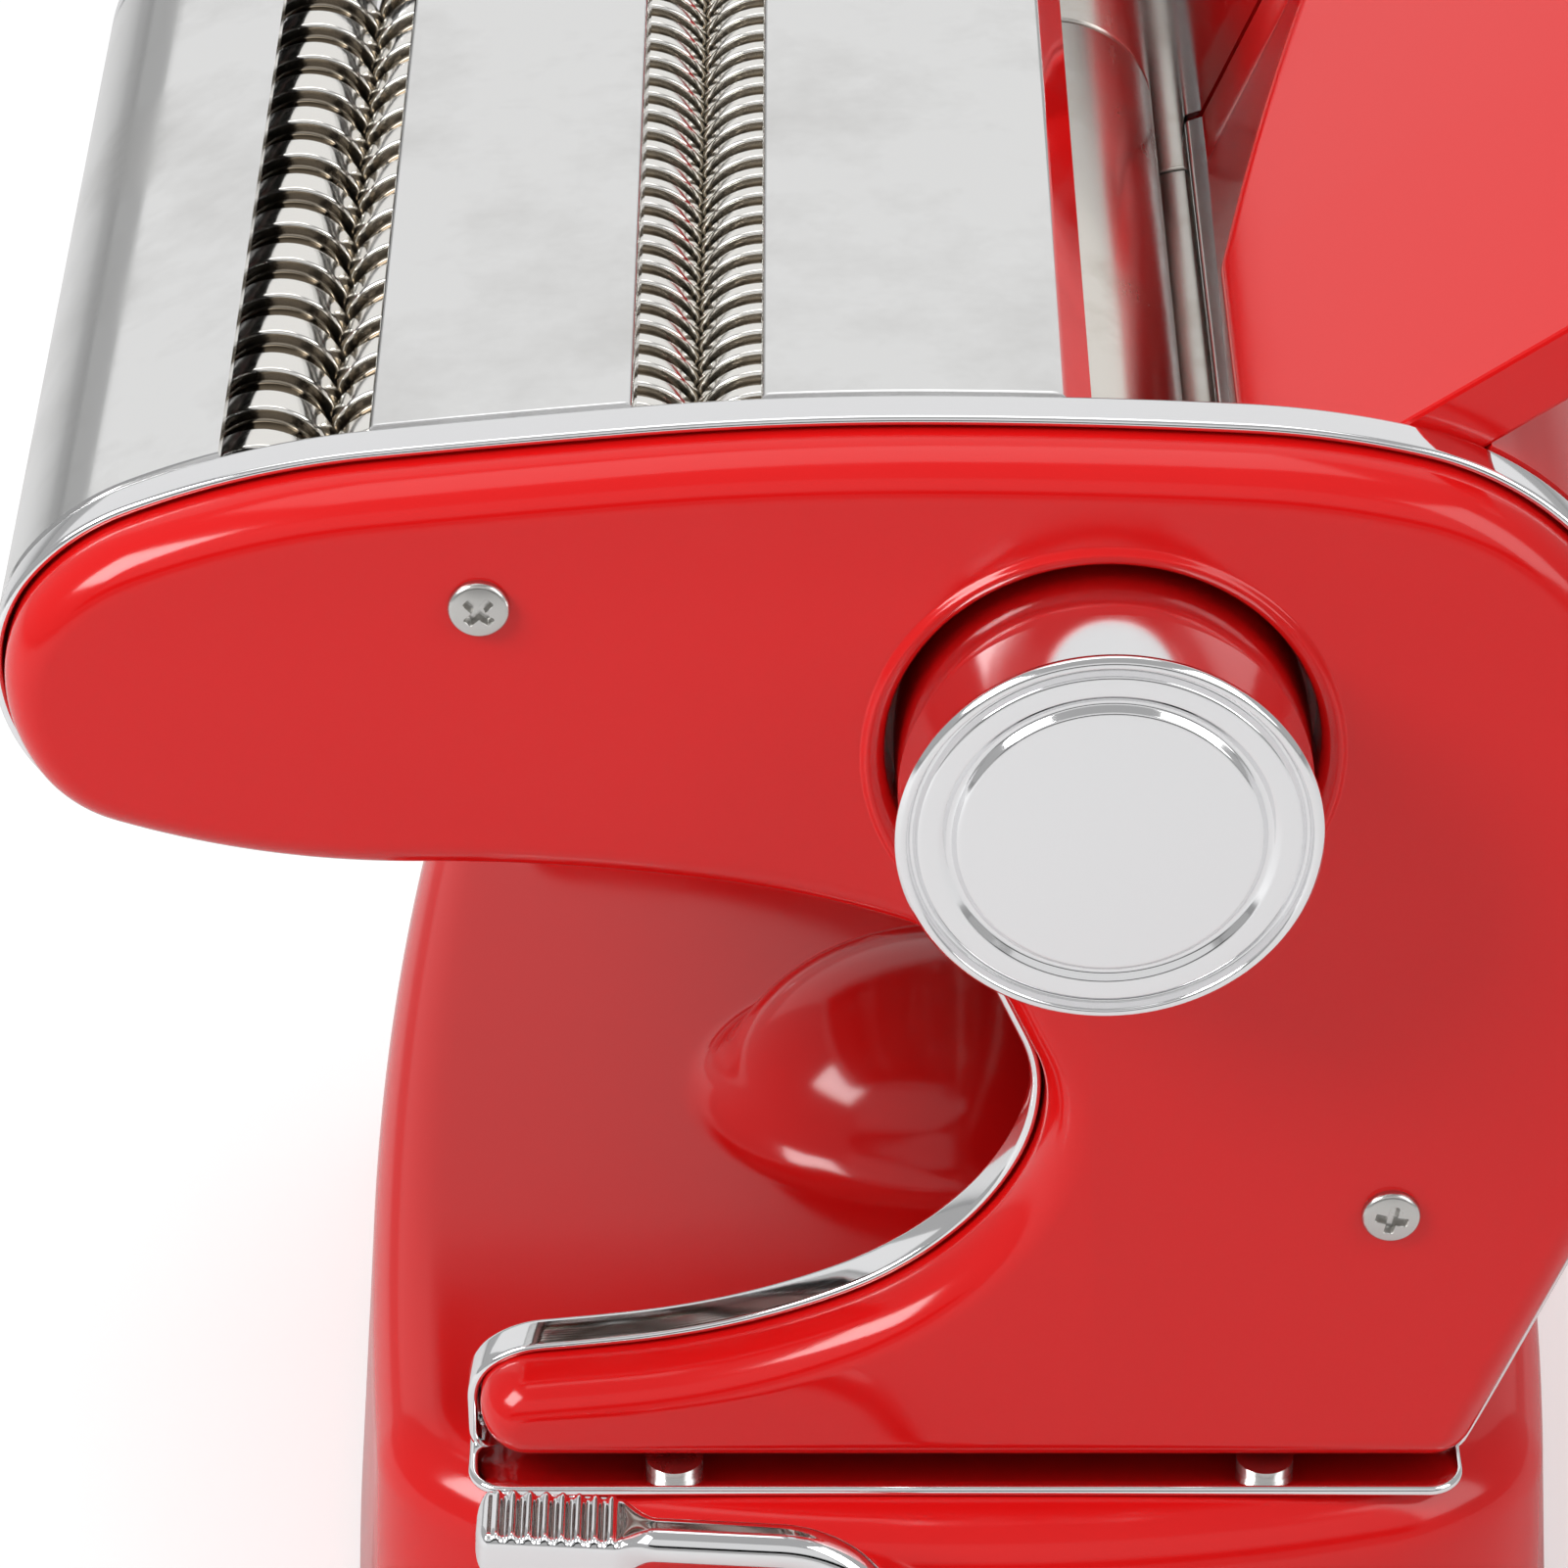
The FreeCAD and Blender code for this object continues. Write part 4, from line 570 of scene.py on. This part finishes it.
def top_plate(name, left, right, start_lip=None, end_lip=None):
    """Steel sheet p(s, y) = c(s) along the head, with lips (radius, angle, length) at its slot edges."""
    build = Build()
    wall, reach = 0.8, 69.9
    path = head_path(left, right)
    side = normals(path, False)
    if start_lip:
        path = np.vstack([lip_points(path[0], unit(path[0] - path[1]), -side[0], *start_lip)[::-1], path])
    if end_lip:
        path = np.vstack([path, lip_points(path[-1], unit(path[-1] - path[-2]), -side[-1], *end_lip)])
    sheet(build, path, wall, reach)
    build.piece(name, "frame", "polished_steel", 30.0, [name.replace("_skin", "_top_plate")])


SLOT_LIP = (1.1, math.radians(88), 2.2)
THROAT_LIP = (2.6, math.radians(50), 4.6)
top_plate("left_skin", -200.0, -82.9)
top_plate("middle_skin", -65.7, -38.8, SLOT_LIP, SLOT_LIP)
top_plate("right_skin", -22.9, 7.6, THROAT_LIP, SLOT_LIP)


# Rollers.

def hex_socket(build, centre, count):
    """Crank socket p(k, a) in a shaft: circle, then r(a) = flats / (2 cos(a mod 60 - 30)), and floor."""
    a = np.linspace(0, 2 * np.pi, count, endpoint=False)
    hexagon = SOCKET_FLATS / 2 / np.cos(np.mod(a, np.pi / 3) - np.pi / 6)
    r = np.stack([np.full(count, SOCKET_RIM), hexagon, hexagon])
    y = np.repeat([[SHAFT_OUT], [SHAFT_OUT], [SHAFT_OUT - SOCKET_DEPTH]], count, 1)
    index = build.grid(np.stack([centre[0] + r * np.cos(a), y, centre[1] + r * np.sin(a)], -1), wrap_v=True)
    build.face(index[-1])


def turn_roller(build, profile, ease, centre, count, socket):
    """Roller p(s, a) = c + r(s)(cos a, sin a) at y(s), its far end closed or with a crank socket."""
    profile = profile + [(SOCKET_RIM if socket else 0, profile[-1][1])]
    revolve(build, eased(profile, *ease), centre, count)
    if socket:
        hex_socket(build, centre, count)


def dough_roller(name, centre, shaft, near_end, far_end, socket):
    """Smooth roller p(s, a) = c + r(s)(cos a, sin a) with rounded shoulders and its two journals."""
    build = Build()
    radius = 13.2
    profile = [(0, near_end), (shaft, near_end), (shaft, -ROLLER_END), (radius, -ROLLER_END),
               (radius, ROLLER_END), (shaft, ROLLER_END), (shaft, far_end)]
    turn_roller(build, profile, (0.5, 5), centre, 132, socket)
    build.piece(name + "_turned", name, "roller_steel", 30.0, [name])


dough_roller("drive_roller", DRIVE, 6.0, NEAR_JOURNAL, SHAFT_OUT, True)
dough_roller("adjustable_roller", ADJUST, 5.0, -76.0, 79.6, False)


def cutter(name, role, centre, pitch):
    """Cutter p(s, a) = c + r(s)(cos a, sin a): eased rings that run in the grooves of its neighbour."""
    build = Build()
    driven = role == "drive"
    ring_wall, outer, core, shaft = pitch / 2 - 0.25, 8.0, 6.2, 4.5
    count = int((2 * ROLLER_END - ring_wall) / pitch)
    first = -count * pitch / 2 + (0 if driven else pitch / 2)
    profile = [(0, NEAR_JOURNAL), (shaft, NEAR_JOURNAL), (shaft, -ROLLER_END), (core, -ROLLER_END)]
    for k in range(count if driven else count - 1):
        low = first + k * pitch
        profile += [(core, low), (outer, low), (outer, low + ring_wall), (core, low + ring_wall)]
    profile += [(core, ROLLER_END), (shaft, ROLLER_END), (shaft, SHAFT_OUT)]
    turn_roller(build, profile, (0.45, 4), centre, 96, driven)

    # Painted shade mix: 0 at the groove roots, rising to 1 near the ring tops.
    def groove_shade_mix(points):
        height = np.hypot(points[:, 0] - centre[0], points[:, 2] - centre[1]) - core
        return np.clip(height / (outer - core - 0.3), 0, 1)

    body = "%s_cutter_%s" % (name, role)
    node_name = body + "_roller"
    build.piece(node_name + "_turned", body, "roller_steel", 40.0, [node_name], "cutter_steel", groove_shade_mix)


for cutter_name, (cutter_x, cutter_z, cutter_pitch) in CUTTERS.items():
    cutter(cutter_name, "drive", (cutter_x + CUTTER_SPREAD, cutter_z), cutter_pitch)
    cutter(cutter_name, "follower", (cutter_x - CUTTER_SPREAD, cutter_z), cutter_pitch)


# Knob.

def knob():
    """Cap p(s, a) = c + r(s)(cos a, sin a) at y(s): stepped disc, grooves, rolled rim, skirt and hub."""
    build = Build()
    front, hub_end, skirt_end, hub, bore = -100.6, -88.8, -75.0, 8.0, 4.04
    under, bore_end = front + 2.6, front + 2.1
    disc = [(0, 0.1), (16.4, 0.1), (17.1, 1.0), (17.6, 1.0)]
    disc += [(18.4, 0.4), (20.7, 0.4), (21.2, 1.2), (21.6, 1.2)]
    rim = [(22.0, 0.0), (22.7, 0.0), (23.25, 0.7), (23.0, 1.6), (21.2, 2.2), (22.7, 10.0)]
    profile = [(r, front + y) for r, y in disc + rim] + [(23.3, skirt_end), (22.4, skirt_end)]
    profile += [(20.4, under), (hub, under), (hub, hub_end), (bore, hub_end), (bore, bore_end), (0, bore_end)]
    revolve(build, eased(profile, 0.55, 6), KNOB, 192)
    build.piece("knob_spun_cap", "knob_cap", "chrome_plate", 40.0, ["knob_cap"])


knob()


# Dough tray.

def tray():
    """Tray p(t, y): foot, steep lip, eased bend whose X moves out along Y, sloping panel and underside."""
    build = Build()
    slope, panel, wall, ease, side_height = math.radians(34.6), 78.0, 2.4, 1.6, 7.8
    swing_start, swing_length, swing_reach = -12.0, 70.0, 18.0
    along = np.array([math.cos(slope), math.sin(slope)])
    down = np.array([math.sin(slope), -math.cos(slope)])
    origin, ridge = np.array([29.7, 179.9]), np.array([44.8, 190.3])
    tip = origin + along * panel
    y = np.linspace(-69.1, 69.1, 120)
    swing = np.clip((y - swing_start) / swing_length, 0, 1)
    bend_x = origin[0] + swing_reach * (0.75 * swing + 0.25 * swing ** 2)
    bend = ridge + along * ((bend_x - ridge[0]) / along[0])[:, None]
    foot, top = np.broadcast_to(np.array([32.2, 156.0]), bend.shape), np.broadcast_to(tip, bend.shape)
    back = foot - bend
    back = back / np.linalg.norm(back, axis=1, keepdims=True)
    curve = bezier(bend + back * ease, bend, bend + along * ease, np.linspace(0, 1, 9)[:, None, None])
    upper = [foot[None], curve, top[None] - along * 0.7, top[None] - along * 0.2 + down * 0.2,
             top[None] + down * 0.7]
    under = [top[None] + down * wall, bend[None] + down * wall + along * 1.2, foot[None] + [wall, 0]]
    loop = np.concatenate(upper + under)
    points = np.stack([loop[..., 0], np.broadcast_to(y, loop.shape[:2]), loop[..., 1]], -1)
    build.close(build.grid(points, wrap_u=True))
    edge = origin + along * 5.0
    middle = (edge + tip) / 2
    corners = [middle, edge, edge + down * side_height, tip + down * side_height, tip, middle]
    outline = eased(corners, 1.2, 6)[:-1]
    for low, high in ((-69.6, -67.2), (67.2, 69.6)):
        levels = [(0.5, low), (0.15, low + 0.15), (0, low + 0.5)]
        levels += [(0, high - 0.5), (0.15, high - 0.15), (0.5, high)]
        build.close(band(build, outline, levels))
    build.piece("dough_tray_moulding", "frame", "red_plastic", 20.0, ["dough_tray"])


def tray_edge():
    """Thin steel strip p(s, y) = c(s) at the tray's foot, bent down towards the rollers."""
    build = Build()
    sheet(build, eased([(33.4, 157.6), (30.6, 156.6), (30.4, 152.6)], 0.8), 0.6, 69.0)
    build.piece("dough_tray_edge", "frame", "polished_steel", 30.0)


tray()
tray_edge()


# Back cover.

def back_cover():
    """Curved moulding p(s, y) = c(s) along the profile from the heel up to the tray's side walls."""
    build = Build()
    above = run("shoulder", "crown")
    path = [np.linspace([HEEL_X, DECK], station("hip")[0], 12, endpoint=False), run("hip", "shoulder"),
            above[above[:, 0] > 55.5]]
    sheet(build, even(np.vstack(path), 160, False), 2.2, 69.95)
    build.piece("back_moulding", "frame", "red_plastic", 30.0, ["back_cover"])


back_cover()


# Base.

def base_plan(count):
    """Plan of the base: four bowed sides joined by tangent corner arcs."""
    bow_x, bow_y, radius = 3.0, 6.7, 22.0
    x, y = 76.7 - bow_x, 95.2 - bow_y
    u, v = x - radius, y - radius
    sides = [((-u, -y), (u, -y), bow_y), ((x, -v), (x, v), bow_x),
             ((u, y), (-u, y), bow_y), ((-x, v), (-x, -v), bow_x)]
    ends = []
    for start, end, bow in sides:
        chord = np.subtract(end, start)
        swing = 2 * math.atan2(2 * bow, np.linalg.norm(chord))
        leave, arrive = turned(unit(chord), -swing), turned(unit(chord), swing)
        ends.append((np.array(start), leave, np.array(end), arrive))
    points = []
    for (start, leave, end, arrive), (after, ahead, _, _) in zip(ends, ends[1:] + ends[:1]):
        points += [arc(start, leave, end), two_arcs(end, arrive, after, ahead)]
    return even(np.vstack(points), count)


def dome(x, y):
    """Height of the swelling over the deck: an ellipsoid eased into the deck by a cubic skirt."""
    half_x, half_y, height, sink, inner, outer = 30.0, 24.0, 23.0, 3.0, 0.93, 1.16
    q = np.sqrt((x / half_x) ** 2 + (y / half_y) ** 2)
    cap = height * np.sqrt(np.clip(1 - q ** 2, 0, 1)) - sink
    edge = height * math.sqrt(1 - inner ** 2) - sink
    slope = -height * inner / math.sqrt(1 - inner ** 2) * (outer - inner)
    t = np.clip((q - inner) / (outer - inner), 0, 1)
    skirt = edge * (2 * t ** 3 - 3 * t ** 2 + 1) + slope * (t ** 3 - 2 * t ** 2 + t)
    return np.where(q < inner, cap, skirt)


def base():
    """Moulded base: drafted side, rounded top edge, then p(s, k) = k c(s) with the dome to the middle."""
    build = Build()
    foot, side_top, draft, fillet = 4.0, 45.0, math.radians(4.0), 8.6
    lean = (side_top - foot) * math.tan(draft)
    levels = [(1.6, foot + 0.02), (0.5, foot + 0.1), (0, foot + 0.9)]
    levels += [(lean + fillet * (1 - math.cos(a)), DECK - fillet * (1 - math.sin(a)))
               for a in np.linspace(0, math.radians(86), 14)]
    levels[-1] = (levels[-1][0], DECK)
    index = band(build, base_plan(480), levels, flat)
    build.face(index[:, 0])
    rim = np.vstack(build.points)[index[:, -1]]
    k = np.concatenate([[1.0], np.linspace(0.97, 0.02, 110)])
    x, y = rim[:, :1] * k, rim[:, 1:2] * k
    index = build.grid(np.stack([x, y, DECK + dome(x, y)], -1), wrap_u=True)
    build.face(index[:, -1])
    build.piece("base_moulding", "frame", "red_plastic", 45.0, ["base_shell"])


base()


# Suction lever.

def lever():
    """Lever p(t, a): a rod swept along its path, its section easing from a circle to a ribbed thumb pad."""
    build = Build()
    hub, knee = np.array([0.0, 31.7]), np.array([-7.0, 47.0])
    top, tip = np.array([-22.0, 60.0]), np.array([-57.0, 62.2])
    lever_y, near_face, far_face, bore, hub_radius, root = -101.4, -104.4, -98.4, 5.04, 8.0, 6.4
    pad_length, pad_ease, blunt = 21.0, 5.0, 1.6
    rib_end, rib_height, rib_pitch = 17.0, 0.35, 1.9
    leave = unit(knee - hub)
    path = [np.linspace(hub + leave * root, knee, 12, endpoint=False),
            two_arcs(knee, leave, top, unit(tip - top)), np.linspace(top, tip, 160)]
    path = even(np.vstack(path), 360, False)
    side = normals(path, False)
    s = np.linspace(0, np.linalg.norm(np.diff(path, axis=0), axis=1).sum(), len(path))
    s = s[-1] - s  # distance from the tip
    pad = np.clip((pad_length - s) / pad_ease, 0, 1)
    pad = pad * pad * (3 - 2 * pad)
    end = np.sqrt(np.clip(1 - np.clip((blunt - s) / blunt, 0, 1) ** 2, 0.0004, 1))
    width, height = ((2.7 + 2.0 * pad) * end)[:, None], ((2.5 + 0.6 * pad) * end)[:, None]
    ribbed = np.clip(s - blunt, 0, 1) * np.clip(rib_end - s, 0, 1)
    ribs = (rib_height * pad * ribbed * np.sin(2 * np.pi * s / rib_pitch))[:, None]
    a = np.linspace(0, 2 * np.pi, 64, endpoint=False)
    power = (1 - 0.62 * pad)[:, None]
    across = np.sign(np.cos(a)) * np.abs(np.cos(a)) ** power * width
    rise = np.sign(np.sin(a)) * np.abs(np.sin(a)) ** power * height + np.where(np.sin(a) > 0.5, ribs, 0.0)
    x, z = path[:, :1] + side[:, :1] * rise, path[:, 1:] + side[:, 1:] * rise
    build.close(build.grid(np.stack([x, lever_y + across, z], -1), wrap_v=True).T)
    profile = [(bore, far_face), (hub_radius, far_face), (hub_radius, near_face), (bore, near_face)]
    profile += profile[:1]
    revolve(build, eased(profile, 0.9, 6), hub, 96)
    build.piece("suction_lever_cast", "suction_lever", "chrome_plate", 40.0, ["suction_lever"])


lever()


# Stage, light and camera, in metres.

def stage_card(name, width, length, place, tilt, finish):
    """Flat card for the floor or a reflector."""
    mesh = bpy.data.meshes.new(name)
    x, y = width / 2, length / 2
    mesh.from_pydata([(-x, -y, 0), (x, -y, 0), (x, y, 0), (-x, y, 0)], [], [(0, 1, 2, 3)])
    mesh.materials.append(finish)
    card = bpy.data.objects.new(name, mesh)
    bpy.context.scene.collection.objects.link(card)
    card.location = place
    card.rotation_euler = (math.radians(tilt), 0, 0)
    return card


def floor_material():
    """Pale floor that keeps the part's shadow near it and runs out to white where the camera sees it."""
    made = bpy.data.materials.new("pale_floor")
    made.use_nodes = True
    tree = made.node_tree
    shader = tree.nodes["Principled BSDF"]
    shader.inputs["Base Color"].default_value = (0.70, 0.70, 0.70, 1.0)
    shader.inputs["Roughness"].default_value = 0.9
    seen = tree.nodes.new("ShaderNodeLightPath").outputs["Is Camera Ray"]
    lift = node(tree, "ShaderNodeEmission", [("Strength", worked_out(tree, "MULTIPLY", seen, 0.36))])
    near = node(tree, "ShaderNodeAddShader", [(0, shader.outputs["BSDF"]), (1, lift.outputs["Emission"])])
    coords = tree.nodes.new("ShaderNodeTexCoord")
    reach = node(tree, "ShaderNodeVectorMath", [(0, coords.outputs["Object"])])
    reach.operation = "LENGTH"
    fade = worked_out(tree, "MULTIPLY", seen, ranged(tree, reach.outputs["Value"], 0.22, 0.60))
    white = node(tree, "ShaderNodeEmission", Strength=1.0)
    shades = [(0, fade), (1, near.outputs["Shader"]), (2, white.outputs["Emission"])]
    mix = node(tree, "ShaderNodeMixShader", shades)
    tree.links.new(mix.outputs["Shader"], tree.nodes["Material Output"].inputs["Surface"])
    return made


def card_material(name, strength):
    """Plain glowing card."""
    made = bpy.data.materials.new(name)
    made.use_nodes = True
    tree = made.node_tree
    glow = node(tree, "ShaderNodeEmission", Strength=strength)
    tree.links.new(glow.outputs["Emission"], tree.nodes["Material Output"].inputs["Surface"])
    return made


stage_card("floor", 12.0, 12.0, (0, 0, -0.0005), 0, floor_material())
back_card = stage_card("back_card", 3.2, 2.2, (0, 1.6, 1.5), 90, card_material("back_glow", 0.84))
back_card.visible_camera = False
FRONT_CARDS = (("dark_card", 0.3, 0.45, 0.0), ("front_card", 1.3, 1.35, 0.75))  # height, Z and strength
for card_name, card_height, card_z, card_glow in FRONT_CARDS:
    card_finish = card_material(card_name + "_glow", card_glow)
    card = stage_card(card_name, 2.8, card_height, (0, -1.6, card_z), 90, card_finish)
    card.visible_camera = card.visible_diffuse = card.visible_shadow = False


def studio():
    """World that is white to the camera and grey to every other ray."""
    world = bpy.data.worlds.new("studio")
    bpy.context.scene.world = world
    world.use_nodes = True
    tree = world.node_tree
    shade = tree.nodes["Background"]
    shade.inputs["Color"].default_value = (1.0, 1.0, 1.0, 1.0)
    seen = tree.nodes.new("ShaderNodeLightPath").outputs["Is Camera Ray"]
    tree.links.new(ranged(tree, seen, 0.0, 1.0, 0.42, 1.0), shade.inputs["Strength"])


def area_light(name, place, target, width, height, power):
    """Rectangular softbox aimed at a point."""
    lamp = bpy.data.lights.new(name, "AREA")
    lamp.shape = "RECTANGLE"
    lamp.size, lamp.size_y, lamp.energy = width, height, power
    made = bpy.data.objects.new(name, lamp)
    bpy.context.scene.collection.objects.link(made)
    made.location = place
    made.rotation_euler = Vector(np.subtract(target, place)).to_track_quat("-Z", "Y").to_euler()


studio()
area_light("key", (-0.98, -0.55, 1.0), (0, 0, 0.10), 0.6, 0.6, 13.0)
area_light("fill", (0.9, -0.55, 0.8), (0, 0, 0.12), 0.6, 0.9, 4.5)
area_light("top", (-0.1, 0.25, 1.5), (0, 0.0, 0.15), 1.2, 0.8, 4.2)

lens = bpy.data.cameras.new("photo_lens")
lens.lens, lens.sensor_width = 148.9, 36.0
camera = bpy.data.objects.new("photo_camera", lens)
camera.location = (-0.0213, -0.6820, 0.5421)
camera.rotation_euler = (math.radians(57.0), 0, 0)
bpy.context.scene.collection.objects.link(camera)
bpy.context.scene.camera = camera
bpy.context.scene.view_settings.view_transform = "Standard"
